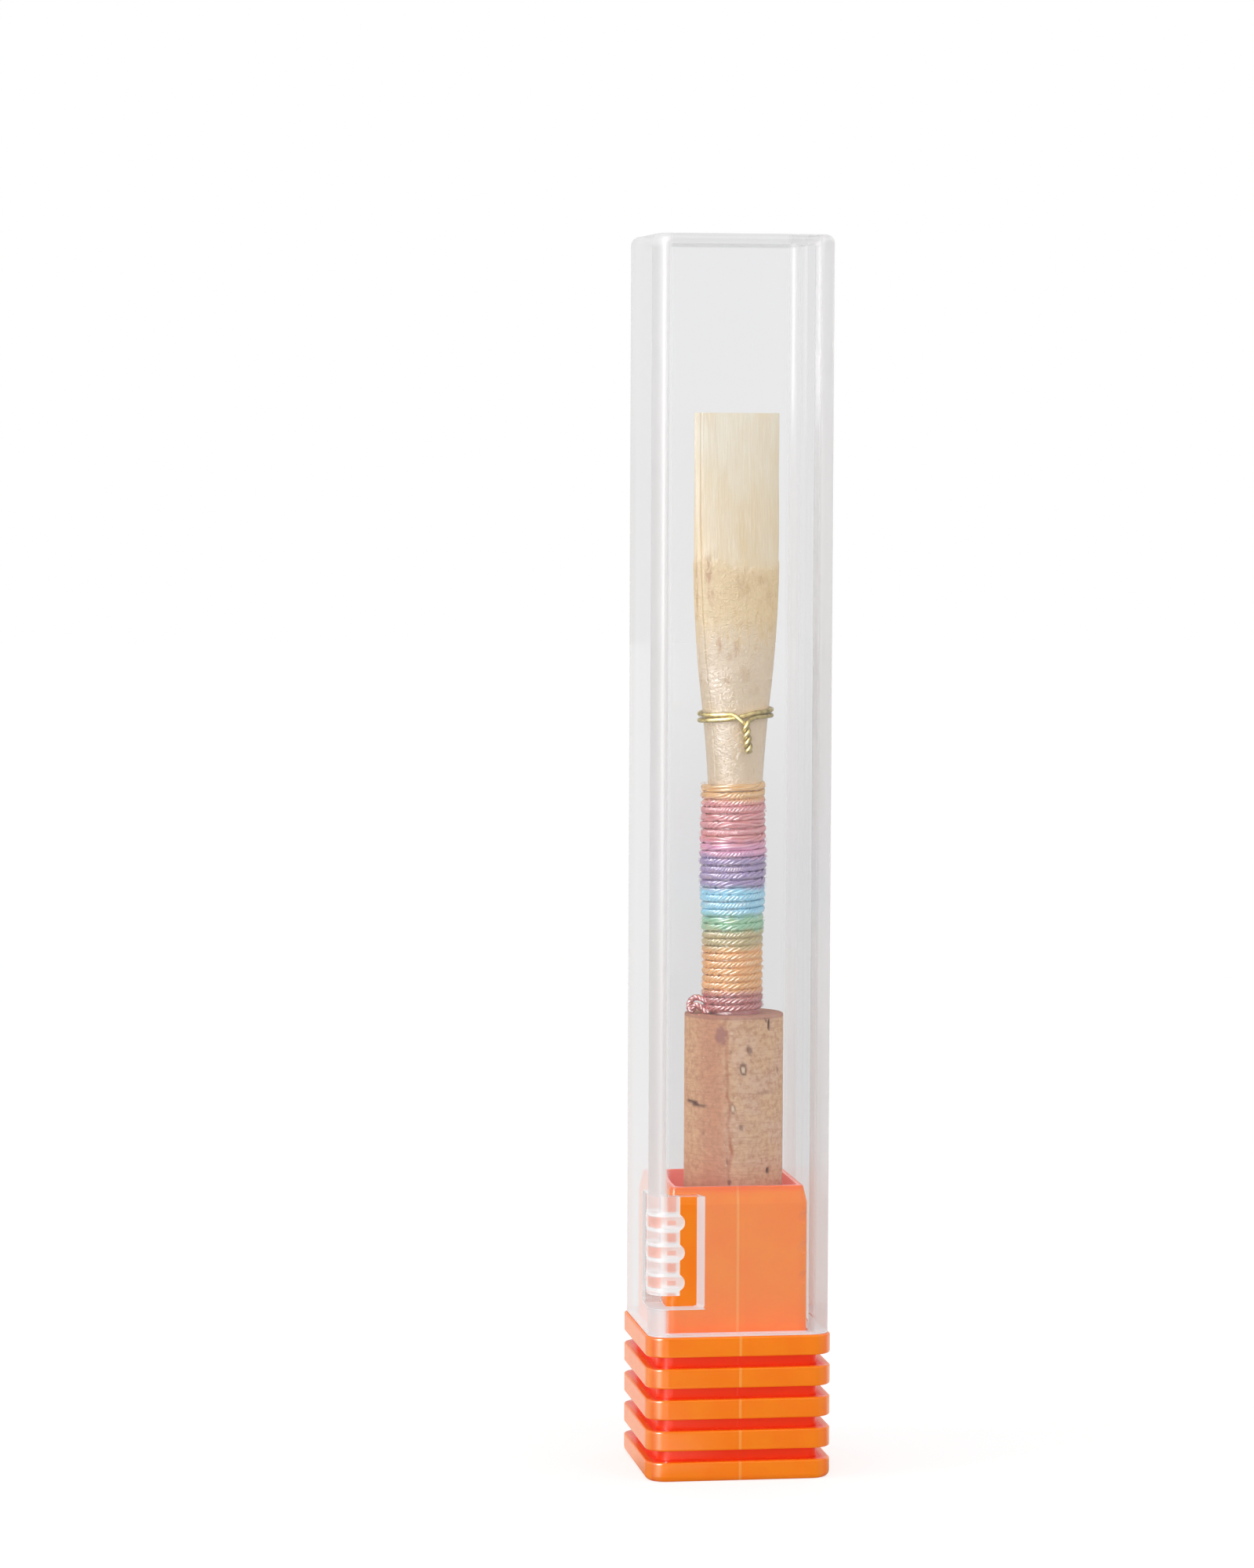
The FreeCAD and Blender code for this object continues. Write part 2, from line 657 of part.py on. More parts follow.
def make_winding(doc, sizes, places):
    """The outer layer of thread: one tube wound from the knot up to the throat."""
    start_angle = math.radians(sizes.knot_angle + sizes.thread_end_turn)
    rise = places.thread_pitch
    swell = places.winding_slope * rise

    def point_at(turns):
        angle = start_angle + 2 * math.pi * turns
        radius = sizes.winding_foot_radius + swell * turns
        across, along = math.cos(angle), math.sin(angle)
        point = Vector(radius * across, radius * along, places.winding_foot + rise * turns)
        turning = 2 * math.pi * radius
        tangent = Vector(swell * across - turning * along, swell * along + turning * across, rise)
        return point, tangent.normalize()

    edges = coil_path(point_at, 2, sizes.thread_turns)
    print_least_gap("thread_winding", edges, sizes.thread_diameter, 4)
    edges = straight_ends(edges, (point_at(0), point_at(sizes.thread_turns)), sizes.thread_diameter)
    shape = tube(edges, places.thread_radius)
    return reed_feature(doc, "thread_winding", shape, sizes, places)


def cane_half_sizes(height, sizes, places):
    """The cane's outer half width and half depth at a height, between its sections."""
    rows = cane_sections(sizes, places)
    for lower, upper in zip(rows, rows[1:]):
        if height <= upper[0]:
            share = (height - lower[0]) / (upper[0] - lower[0])
            return mix(lower[1], upper[1], share), mix(lower[2], upper[2], share)
    return rows[-1][1], rows[-1][2]


def make_wire(doc, sizes, places):
    """The binding wire: one tube wound round the oval cane."""
    start_angle = math.radians(sizes.wire_start_angle)
    foot = places.wire_height - sizes.wire_pitch * sizes.wire_turns / 2
    top = foot + sizes.wire_pitch * sizes.wire_turns + places.wire_radius
    widest, _ = cane_half_sizes(top, sizes, places)
    _, deepest = cane_half_sizes(foot - places.wire_radius, sizes, places)
    across = widest + sizes.wire_gap + places.wire_radius
    along = deepest + sizes.wire_gap + places.wire_radius

    def point_at(turns):
        angle = start_angle + 2 * math.pi * turns
        point = Vector(across * math.cos(angle), along * math.sin(angle), foot + sizes.wire_pitch * turns)
        tangent = Vector(
            -2 * math.pi * across * math.sin(angle), 2 * math.pi * along * math.cos(angle), sizes.wire_pitch
        )
        return point, tangent.normalize()

    edges = coil_path(point_at, 4, sizes.wire_turns)
    print_least_gap("binding_wire", edges, sizes.wire_diameter, 8)
    edges = straight_ends(edges, (point_at(0), point_at(sizes.wire_turns)), sizes.wire_diameter)
    shape = tube(edges, places.wire_radius)
    return reed_feature(doc, "binding_wire", shape, sizes, places), foot, along


def make_wire_tail(doc, foot, standoff, sizes, places):
    """The wire's two ends, twisted together below the binding and bent down along the cane."""
    radius = sizes.wire_diameter * STRAND_SHARE
    turns = sizes.twist_length / sizes.twist_pitch
    strands = []
    for phase in (0, math.pi):

        def point_at(turn):
            angle = phase + 2 * math.pi * turn
            point = Vector(radius * math.cos(angle), radius * math.sin(angle), -sizes.twist_pitch * turn)
            turning = 2 * math.pi * radius
            tangent = Vector(-turning * math.sin(angle), turning * math.cos(angle), -sizes.twist_pitch)
            return point, tangent.normalize()

        strands.append(tube(coil_path(point_at, 4, turns), places.wire_radius))
    tail = Part.makeCompound(strands)
    angle = math.radians(sizes.wire_start_angle)
    clear = radius + places.wire_radius + sizes.wire_diameter * TWIST_STANDOFF_SHARE
    start = Vector(
        (standoff + clear) * math.cos(angle), (standoff + clear) * math.sin(angle),
        foot - sizes.twist_drop,
    )
    lean = Rotation(Vector(0, 1, 0), -sizes.twist_lean)
    tail = tail.transformed(Placement(start, lean).toMatrix())
    return reed_feature(doc, "wire_tail", tail, sizes, places)


def make_knot(doc, sizes, places):
    """The knot that ends the thread: a small lump and a loop of thread standing on the cork."""
    angle = math.radians(sizes.knot_angle)
    outward = Vector(math.cos(angle), math.sin(angle), 0)
    around = Vector(-outward.y, outward.x, 0)
    floor = sizes.cork_length + sizes.fit_gap
    beside = sizes.winding_foot_radius + places.thread_radius + sizes.fit_gap
    lump_spot = outward * (beside + sizes.knot_lump_radius) + Vector(0, 0, floor + sizes.knot_lump_radius)
    lump = Part.makeSphere(sizes.knot_lump_radius, lump_spot)
    half_thick = sizes.knot_loop_thickness / 2
    loop_reach = beside + sizes.knot_lump_radius + sizes.knot_loop_radius
    loop_spot = outward * loop_reach + Vector(0, 0, floor + sizes.knot_loop_radius + half_thick)
    loop = Part.makeTorus(sizes.knot_loop_radius, half_thick, loop_spot, around)
    return reed_feature(doc, "thread_knot", lump.fuse(loop), sizes, places)


def check(doc, nodes):
    for item in doc.Objects:
        if "Invalid" in item.State or "Error" in item.State:
            raise ValueError(f"{item.Name} failed: {item.State}")
    for node in nodes:
        if node.Shape.isNull() or not node.Shape.isValid() or not node.Shape.Solids:
            raise ValueError(f"{node.Label} has no valid solid")


def main():
    doc = FreeCAD.newDocument("reed_in_case")
    sizes, places = fill_sheets(doc)
    nodes = [make_base(doc, sizes, places), make_cover(doc, sizes, places), make_tongue(doc, sizes, places)]
    nodes += [make_cork(doc), make_staple(doc), make_underlayer(doc)]
    nodes.append(make_blade(doc, "blade_front", 180, sizes, places))
    nodes.append(make_blade(doc, "blade_back", 0, sizes, places))
    nodes.append(make_winding(doc, sizes, places))
    nodes.append(make_knot(doc, sizes, places))
    wire, foot, standoff = make_wire(doc, sizes, places)
    nodes += [wire, make_wire_tail(doc, foot, standoff, sizes, places)]
    doc.recompute()
    check(doc, nodes)
    os.makedirs("parts", exist_ok=True)
    for node in nodes:
        node.Shape.exportStep(f"parts/{node.Label}.step")
        box = node.Shape.BoundBox
        print(f"{node.Label}: {len(node.Shape.Solids)} solid, {node.Shape.Volume:.2f} mm3, "
              f"z {box.ZMin:.2f} to {box.ZMax:.2f}")


main()
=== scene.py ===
import math
import random

import bpy
from mathutils import Matrix, Vector, noise


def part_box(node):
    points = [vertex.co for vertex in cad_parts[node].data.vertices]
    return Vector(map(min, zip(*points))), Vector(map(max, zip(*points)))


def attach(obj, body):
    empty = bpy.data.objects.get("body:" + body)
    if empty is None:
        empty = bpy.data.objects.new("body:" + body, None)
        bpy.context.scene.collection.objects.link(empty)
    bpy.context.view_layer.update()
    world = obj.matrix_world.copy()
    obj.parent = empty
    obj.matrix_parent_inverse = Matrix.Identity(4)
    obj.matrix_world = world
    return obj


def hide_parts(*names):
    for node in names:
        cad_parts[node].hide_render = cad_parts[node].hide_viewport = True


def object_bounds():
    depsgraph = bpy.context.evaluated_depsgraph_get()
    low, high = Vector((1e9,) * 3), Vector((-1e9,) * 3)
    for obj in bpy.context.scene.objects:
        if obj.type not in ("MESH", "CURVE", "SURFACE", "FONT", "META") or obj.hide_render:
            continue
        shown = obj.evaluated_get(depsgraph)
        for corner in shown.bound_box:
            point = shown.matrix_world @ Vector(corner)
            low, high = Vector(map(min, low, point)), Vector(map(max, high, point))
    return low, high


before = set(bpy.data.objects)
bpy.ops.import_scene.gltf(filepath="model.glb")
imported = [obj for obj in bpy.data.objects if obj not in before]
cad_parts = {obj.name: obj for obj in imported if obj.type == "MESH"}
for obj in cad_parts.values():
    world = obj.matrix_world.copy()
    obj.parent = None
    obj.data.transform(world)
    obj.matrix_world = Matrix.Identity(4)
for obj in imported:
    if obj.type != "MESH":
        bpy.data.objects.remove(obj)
cad_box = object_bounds()
bpy.ops.object.select_all(action="DESELECT")

# An oboe reed in its storage case. The case's own pieces are those of model.glb; the cork, the cane, the
# thread and the wire are modelled here, on the reed's own axis, and then stood in the case.

MM = 0.001

# Where the reed stands
CORK_LOW, CORK_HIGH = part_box("cork")
CORK_RADIUS = (CORK_HIGH.y - CORK_LOW.y) / 2
CORK_LENGTH = CORK_HIGH.z - CORK_LOW.z
REED_X = (CORK_LOW.x + CORK_HIGH.x) / 2
REED_FOOT = CORK_LOW.z
REED_TURN = math.radians(5)
REED_PLACE = Matrix.Translation((REED_X, 0, REED_FOOT)) @ Matrix.Rotation(REED_TURN, 4, "Z")

# Camera of the photograph: where it stands round the case, and how its frame is cut out
CAMERA_DISTANCE = 445.1 * MM
CAMERA_HEIGHT = 87.5 * MM
CAMERA_AZIMUTH = math.radians(9.15)
CAMERA_PITCH = math.radians(4.55)
CAMERA_ROLL = math.radians(0.308)
CAMERA_LENS_MM = 125.4
CAMERA_SHIFT = (-0.0649, 0.0318)
CAMERA_SENSOR_MM = 36
CAMERA_REACH = (0.01, 10)

# How much of what is behind the cover's front wall comes through it, the haze that it adds, and the
# least that any dye sends back
COVER_PASS = 0.87
COVER_HAZE = 0.071
DARKEST = 0.002


def linear(red, green, blue):
    """A colour as a screen shows it, from 0 to 255, in the values that shaders take."""
    channels = []
    for channel in (red, green, blue):
        share = channel / 255
        channels.append(share / 12.92 if share <= 0.04045 else ((share + 0.055) / 1.055) ** 2.4)
    return (*channels, 1.0)


def behind_cover(red, green, blue):
    """The colour of a surface that looks like the one given when it is seen through the cover."""
    seen = linear(red, green, blue)[:3]
    return (*(max(DARKEST, (channel - COVER_HAZE) / COVER_PASS) for channel in seen), 1.0)


# Shaders


class Value:
    """A shader socket that Python's own sums work on."""

    def __init__(self, shader, socket):
        self.shader = shader
        self.socket = socket

    def __add__(self, other):
        return self.shader.maths("ADD", self, other)

    def __sub__(self, other):
        return self.shader.maths("SUBTRACT", self, other)

    def __rsub__(self, other):
        return self.shader.maths("SUBTRACT", other, self)

    def __mul__(self, other):
        return self.shader.maths("MULTIPLY", self, other)

    def __truediv__(self, other):
        return self.shader.maths("DIVIDE", self, other)

    def __abs__(self):
        return self.shader.maths("ABSOLUTE", self)

    def __lt__(self, other):
        return self.shader.maths("LESS_THAN", self, other)

    def __gt__(self, other):
        return self.shader.maths("GREATER_THAN", self, other)

    __radd__, __rmul__ = __add__, __mul__


class Shader:
    """The nodes of one material or of the world."""

    def __init__(self, owner):
        owner.use_nodes = True
        self.owner = owner
        self.tree = owner.node_tree

    def node(self, kind, settings=None, sockets=None, output=0):
        """Adds a node, sets it up, fills its sockets with numbers or links, and gives one output."""
        made = self.tree.nodes.new("ShaderNode" + kind)
        for key, value in (settings or {}).items():
            if key == "stops":
                self.set_stops(made.color_ramp, value)
            else:
                setattr(made, key, value)
        self.fill(made, sockets or {})
        return Value(self, made.outputs[output])

    def fill(self, made, sockets):
        for key, value in sockets.items():
            if isinstance(value, Value):
                self.tree.links.new(value.socket, made.inputs[key])
            else:
                made.inputs[key].default_value = value

    def set_stops(self, ramp, stops):
        while len(ramp.elements) < len(stops):
            ramp.elements.new(1.0)
        for element, (place, colour) in zip(ramp.elements, stops):
            element.position = place
            element.color = colour

    def maths(self, operation, *values):
        return self.node("Math", {"operation": operation}, dict(enumerate(values)))

    def clamp(self, value):
        return self.maths("MINIMUM", self.maths("MAXIMUM", value, 0.0), 1.0)

    def step(self, value, low, high):
        """0 below low, 1 above high and smooth between them."""
        return self.node(
            "MapRange", {"interpolation_type": "SMOOTHSTEP"}, {0: value, 1: low, 2: high}
        )

    def band(self, value, low, from_full, to_full, high):
        """1 between two values, and smoothly down to 0 outside them."""
        return self.step(value, low, from_full) * (1 - self.step(value, to_full, high))

    def mix(self, share, first, second):
        """A colour between two others."""
        return self.node("Mix", {"data_type": "RGBA"}, {0: share, 6: first, 7: second}, 2)

    def layers(self, colour, *coats):
        """A colour with others laid over it, each by its share."""
        for share, coat in coats:
            colour = self.mix(share, colour, coat)
        return colour

    def place(self, place=(0, 0, 0), turn=0.0):
        """Millimetres from a place on the piece, turned about the upright axis."""
        where = self.node("TexCoord", output=3)
        sockets = {0: where, 1: place, 2: (0, 0, turn), 3: (MM, MM, MM)}
        return self.node("Mapping", {"vector_type": "TEXTURE"}, sockets)

    def streaks(self, where, across, up, *settings):
        """Noise with one scale across and another one up, so that it is drawn out along one of them."""
        scaled = self.node("VectorMath", {"operation": "MULTIPLY"}, {0: where, 1: (across, across, up)})
        return self.noise(scaled, 1.0, *settings)

    def split(self, where):
        parts = self.node("SeparateXYZ", sockets={0: where}).socket.node
        return [Value(self, output) for output in parts.outputs]

    def noise(self, where, scale, detail=3.0, roughness=0.5, distortion=0.0):
        sockets = {
            "Vector": where, "Scale": scale, "Detail": detail,
            "Roughness": roughness, "Distortion": distortion,
        }
        return self.node("TexNoise", sockets=sockets)

    def ramp(self, value, stops):
        return self.node("ValToRGB", {"stops": stops}, {0: value})

    def bump(self, height, distance, strength):
        sockets = {"Strength": strength, "Distance": distance, "Height": height}
        return self.node("Bump", sockets=sockets)

    def attribute(self, name):
        return self.node("Attribute", {"attribute_name": name}, output=2)


class Finish(Shader):
    """A material with one Principled shader."""

    def __init__(self, name):
        super().__init__(bpy.data.materials.new(name))
        self.surface = self.tree.nodes["Principled BSDF"]
        self.output = self.tree.nodes["Material Output"]

    def set(self, **sockets):
        """Fills the shader's sockets, whose names are written with underscores."""
        self.fill(self.surface, {name.replace("_", " "): value for name, value in sockets.items()})

    def reed_place(self):
        return self.place((REED_X, 0, REED_FOOT), REED_TURN)

    def square_reach(self, across, along):
        """How far a place is from the case's axis towards the farther side and towards the nearer one."""
        sides = abs(across), abs(along)
        return self.maths("MAXIMUM", *sides), self.maths("MINIMUM", *sides)


def between_levels(share, levels):
    first, last = levels
    return first + share * (last - first)


def wear(piece, material):
    piece.data.materials.clear()
    piece.data.materials.append(material)


# Finishes of the case

# The cover's foot stands this far above the base's top rib
COVER_GAP_MM = 0.05
BOSS_FOOT_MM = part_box("cover")[0].z / MM - COVER_GAP_MM
BOSS_TOP_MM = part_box("base")[1].z / MM
COVER_HALF_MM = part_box("cover")[1].x / MM

ORANGE = linear(255, 136, 14)
ORANGE_WARM = linear(254, 128, 10)
# Deeper red for the grooves and under the boss's top edge: painted shade
ORANGE_PAINTED_SHADE = linear(255, 66, 0)
# The socket's inside is painted paler and pinker than the plastic, as painted light against its shade
ORANGE_SOCKET_PAINTED_LIGHT = linear(240, 150, 140)
ORANGE_LINE_HIGHLIGHT = linear(255, 185, 100)
# Painted glow in the socket: an emission that stands in for light that the thin walls let in
SOCKET_PAINTED_GLOW = (0.2, 0.03, 0.02, 1)
# How far from the axis the grooves' floors and the socket end and the ribs' rounded corners start
GROOVE_REACH_MM = (6.75, 7.35)
SOCKET_REACH_MM = (5.1, 5.4)
RIB_CORNER_MM = (6.3, 6.7)
BOSS_BLEND_MM = 0.2
RIM_SHADE_DEPTH_MM = 0.7
PARTING_LINE_MM = (0.05, 0.15)


def orange_plastic():
    """Opaque moulded plastic, with the mould's parting line, painted lighter as a highlight, up the middle
    of front and back, painted shade in the grooves and under the boss's top edge, and painted light and
    glow in the socket.
    """
    finish = Finish("orange_plastic")
    where = finish.place()
    across, along, height = finish.split(where)
    cloud = finish.noise(where, 0.35, 2.0)
    grain = finish.noise(where, 4.0, 3.0, 0.6)
    reach, beside = finish.square_reach(across, along)
    below_boss = 1 - finish.step(height, BOSS_FOOT_MM - BOSS_BLEND_MM, BOSS_FOOT_MM + BOSS_BLEND_MM)
    in_groove = (1 - finish.step(reach, *GROOVE_REACH_MM)) * below_boss
    in_socket = 1 - finish.step(reach, *SOCKET_REACH_MM)
    # The parting line is a real ridge; its lighter colour is a painted highlight
    line = 1 - finish.step(abs(across), *PARTING_LINE_MM)
    rim = finish.step(height, BOSS_TOP_MM - RIM_SHADE_DEPTH_MM, BOSS_TOP_MM)
    # Over the plastic's own colours: the parting line painted lighter as a highlight, the grooves and the
    # boss's top edge painted darker as shade, and the socket painted paler as light
    colour = finish.layers(
        ORANGE_WARM, (finish.step(cloud, 0.3, 0.7), ORANGE), (line * 0.45, ORANGE_LINE_HIGHLIGHT),
        (finish.maths("MAXIMUM", in_groove, rim * 0.5), ORANGE_PAINTED_SHADE), (in_socket, ORANGE_SOCKET_PAINTED_LIGHT),
    )
    finish.set(
        Base_Color=colour, Roughness=0.2 + grain * 0.08 + in_groove * 0.06, Specular_IOR_Level=0.3,
        Coat_Weight=finish.step(beside, *RIB_CORNER_MM) * 0.75, Coat_Roughness=0.33,
        Subsurface_Weight=0.25, Subsurface_Radius=(1.0, 0.2, 0.03), Subsurface_Scale=1.2 * MM,
        # The socket glows by emission: a painted glow, though no lamp is there
        Emission_Color=finish.mix(in_socket, (0, 0, 0, 1), SOCKET_PAINTED_GLOW), Emission_Strength=1.0,
        Normal=finish.bump(grain * 0.1 + line, 0.03 * MM, 0.3),
    )
    return finish.owner


# The clear plastic bends light less than real polystyrene, so that its corners stay as pale as they are
# in the photograph. A coat gives the gloss that this takes away.
COVER_INDEX = 1.03
COVER_TINT = (0.985, 0.985, 0.99, 1)
COVER_CAST = (0.8, 0.8, 0.81, 1)
COVER_DENSITY = 30.0
# How much light the cover and the tongue let through; the rest is haze
COVER_CLEAR = 0.965
TONGUE_CLEAR = 0.97
# The coat on flat walls and at the corners
COVER_GLOSS = (0.9, 0.03)
OUTSIDE_MM = (6.4, 6.9)
TOP_MM = (99.8, 100.2)
CORNER_MM = (5.7, 6.3)
# Haze at the corners, and on walls that are seen edge on: partly haze, partly painted shade
HAZE_AND_SHADE_GREY = linear(238, 236, 236)
CORNER_HAZE_AND_SHADE = 0.45
GRAZING_SHADE = 0.3
GRAZING = (0.7, 0.86)
MARK_ROUGHNESS = 0.4


def clear_plastic(name, clear, marks):
    """Clear plastic, a little grey through its thickness, hazy on its surface, and painted greyer as shade
    at walls seen edge on.

    Lamps reach what it covers. The haze's share is what clear leaves. The marks are masks of places that
    look matt, each with its colour.
    """
    finish = Finish(name)
    where = finish.place()
    across, along, height = finish.split(where)
    reach, beside = finish.square_reach(across, along)
    outside = finish.maths("MAXIMUM", finish.step(reach, *OUTSIDE_MM), finish.step(height, *TOP_MM))
    ripple = finish.streaks(where, 0.5, 0.03, 2.0)
    finish.set(
        Base_Color=COVER_TINT, Roughness=0.02, IOR=COVER_INDEX, Transmission_Weight=clear,
        Coat_Weight=outside * between_levels(finish.step(beside, *CORNER_MM), COVER_GLOSS),
        Normal=finish.bump(ripple, 0.003 * MM, 0.15),
    )
    facing = finish.node("LayerWeight", sockets={"Blend": 0.5}, output=1)
    # Walls seen edge on are painted greyer by how they face: painted shade
    edge_on_shade = outside * finish.step(facing, *GRAZING) * GRAZING_SHADE
    solid = Value(finish, finish.surface.outputs[0])
    for mask, colour in [(edge_on_shade, HAZE_AND_SHADE_GREY), *marks(finish, where)]:
        matt = finish.node("BsdfPrincipled", sockets={"Base Color": colour, "Roughness": MARK_ROUGHNESS})
        solid = finish.node("MixShader", sockets={0: mask, 1: solid, 2: matt})
    rays = finish.node("LightPath").socket.node
    light_rays = (Value(finish, rays.outputs[kind]) for kind in ("Is Shadow Ray", "Is Diffuse Ray"))
    open_to_light = finish.maths("MAXIMUM", *light_rays)
    sockets = {0: open_to_light, 1: solid, 2: finish.node("BsdfTransparent")}
    mixed = finish.node("MixShader", sockets=sockets)
    cast = finish.node("VolumeAbsorption", sockets={"Color": COVER_CAST, "Density": COVER_DENSITY})
    finish.fill(finish.output, {"Surface": mixed, "Volume": cast})
    return finish.owner


FROSTED = linear(224, 228, 234)
FROST = 0.88
# The window's upright cut face: where it lies across, its middle height, its half height, and the wall
# that it cuts through
WINDOW_EDGE_MM = (-3.4, -2.95)
WINDOW_MIDDLE_MM = 18.725
WINDOW_REACH_MM = 4.6
WALL_MM = (-7.38, -5.92)
SILL_MM = 14.15
SILL_REACH_MM = 0.06
COVER_RIM_MM = 0.15
FACE_SLACK_MM = 0.02


def cut_faces(finish, where):
    """The cover's corner haze, partly painted shade, and the frosted cut faces beside its window and round
    its lower rim.
    """
    across, along, height = finish.split(where)
    first, last = WINDOW_EDGE_MM
    on_edge = abs(across - (first + last) / 2) < (last - first) / 2 + FACE_SLACK_MM
    in_window = abs(height - WINDOW_MIDDLE_MM) < WINDOW_REACH_MM
    through_wall = (along > WALL_MM[0]) * (along < WALL_MM[1])
    sill = abs(height - SILL_MM) < SILL_REACH_MM
    near_corner = finish.maths("MAXIMUM", across, along) < last
    rim = height < BOSS_FOOT_MM + COVER_RIM_MM
    frosted = finish.maths("MAXIMUM", on_edge * in_window * through_wall, rim)
    frosted = finish.maths("MAXIMUM", frosted, sill * near_corner)
    _, beside = finish.square_reach(across, along)
    return [(finish.step(beside, *CORNER_MM) * CORNER_HAZE_AND_SHADE, HAZE_AND_SHADE_GREY), (frosted * FROST, FROSTED)]


TONGUE_FROST_AND_REFLECTION = linear(244, 240, 240)
TONGUE_PAINTED_ORANGE_LIGHT = linear(243, 148, 120)
TONGUE_CORNER_SHADE = linear(160, 156, 160)
RIDGES_MM = (16.3, 18.75, 21.2)
TONGUE_FOOT_MM = (15.26, 15.36)
# How far above or below a ridge its crest, the stripe on it and its white flank of painted reflection end,
# and where the flat between two ridges begins
CREST_MM = (0.35, 0.5)
STRIPE_MM = (0.12, 0.25)
FLANK_MM = (0.42, 0.55, 0.68, 0.85)
FLAT_MM = (0.8, 0.92)
# How far from the case's corner, along the front: the rounded corner itself, its grey line of painted shade
# and the leg
ROUND_MM = (0.8, 0.95)
CORNER_SHADE_LINE_MM = (0.68, 0.76, 0.8, 0.9)
LEG_MM = (1.3, 1.45, 2.0, 2.15)
SIDE_SHIFT_MM = 0.6


def tongue_marks(finish, where):
    """Painted reflections in white round the tongue's ridges and at its foot, the boss's orange painted on
    its face as the light that its plastic carries, and a grey line of painted shade at its rounded corner.
    """
    across, along, height = finish.split(where)
    from_corner = finish.maths("MAXIMUM", across, along - SIDE_SHIFT_MM) + COVER_HALF_MM
    lower, middle, upper = (abs(height - ridge) for ridge in RIDGES_MM)
    off_ridge = finish.maths("MINIMUM", finish.maths("MINIMUM", lower, middle), upper)
    crest = 1 - finish.step(off_ridge, *CREST_MM)
    stripe = 1 - finish.step(off_ridge, *STRIPE_MM)
    flank = finish.band(off_ridge, *FLANK_MM)
    flat = finish.step(off_ridge, *FLAT_MM)
    at_corner = 1 - finish.step(from_corner, *ROUND_MM)
    on_leg = finish.band(from_corner, *LEG_MM)
    # A grey line at the rounded corner: painted shade
    line = finish.band(from_corner, *CORNER_SHADE_LINE_MM) * flat
    # Orange on the crests, stripes and flats: painted light that the clear plastic carries from the boss
    painted_orange_light = finish.clamp(crest * at_corner + stripe * on_leg * 0.8 + flat * on_leg * 0.8)
    foot = 1 - finish.step(height, *TONGUE_FOOT_MM)
    # Whitish frost over the tongue, with painted reflections on the ridges' flanks and at the foot
    frost_and_reflection = finish.clamp(0.35 + flank * 0.5 + (1 - painted_orange_light) * 0.15 + foot * 0.5)
    return [(frost_and_reflection, TONGUE_FROST_AND_REFLECTION), (painted_orange_light * 0.6, TONGUE_PAINTED_ORANGE_LIGHT), (line * 0.45, TONGUE_CORNER_SHADE)]


METAL_PALE = linear(206, 184, 130)
METAL_DARK = linear(160, 134, 84)


def drawn_metal():
    """The staple's dull drawn tube, with fine lines round it."""
    finish = Finish("drawn_metal")
    where = finish.reed_place()
    lines = finish.streaks(where, 0.4, 14.0, 4.0)
    finish.set(
        Base_Color=finish.mix(lines, METAL_PALE, METAL_DARK), Roughness=0.25 + lines * 0.2, Metallic=1.0,
        Normal=finish.bump(lines, 0.01 * MM, 0.4),
    )
    return finish.owner


# Finishes of the reed


CORK_WARM = behind_cover(215, 181, 150)
CORK_GREY = behind_cover(215, 182, 160)
CORK_PINK = behind_cover(204, 148, 122)
CORK_TAN_AND_HIGHLIGHT = behind_cover(218, 180, 146)
CORK_BROWN = behind_cover(180, 136, 112)
CORK_PALE = behind_cover(226, 208, 184)
CORK_SEAM_AND_SHADE = behind_cover(172, 110, 90)
CORK_STAIN_AND_SHADOW = behind_cover(166, 122, 116)
CORK_DARK = behind_cover(108, 84, 80)
# Heights of the top edge, painted darker as the shadow under the thread, and of the foot, painted darker
# and redder as shade and as the orange boss's reflection
CORK_SHADOW_TOP_MM = (22.72, 22.9)
CORK_FOOT_SHADE_MM = (4.0, 12.5)


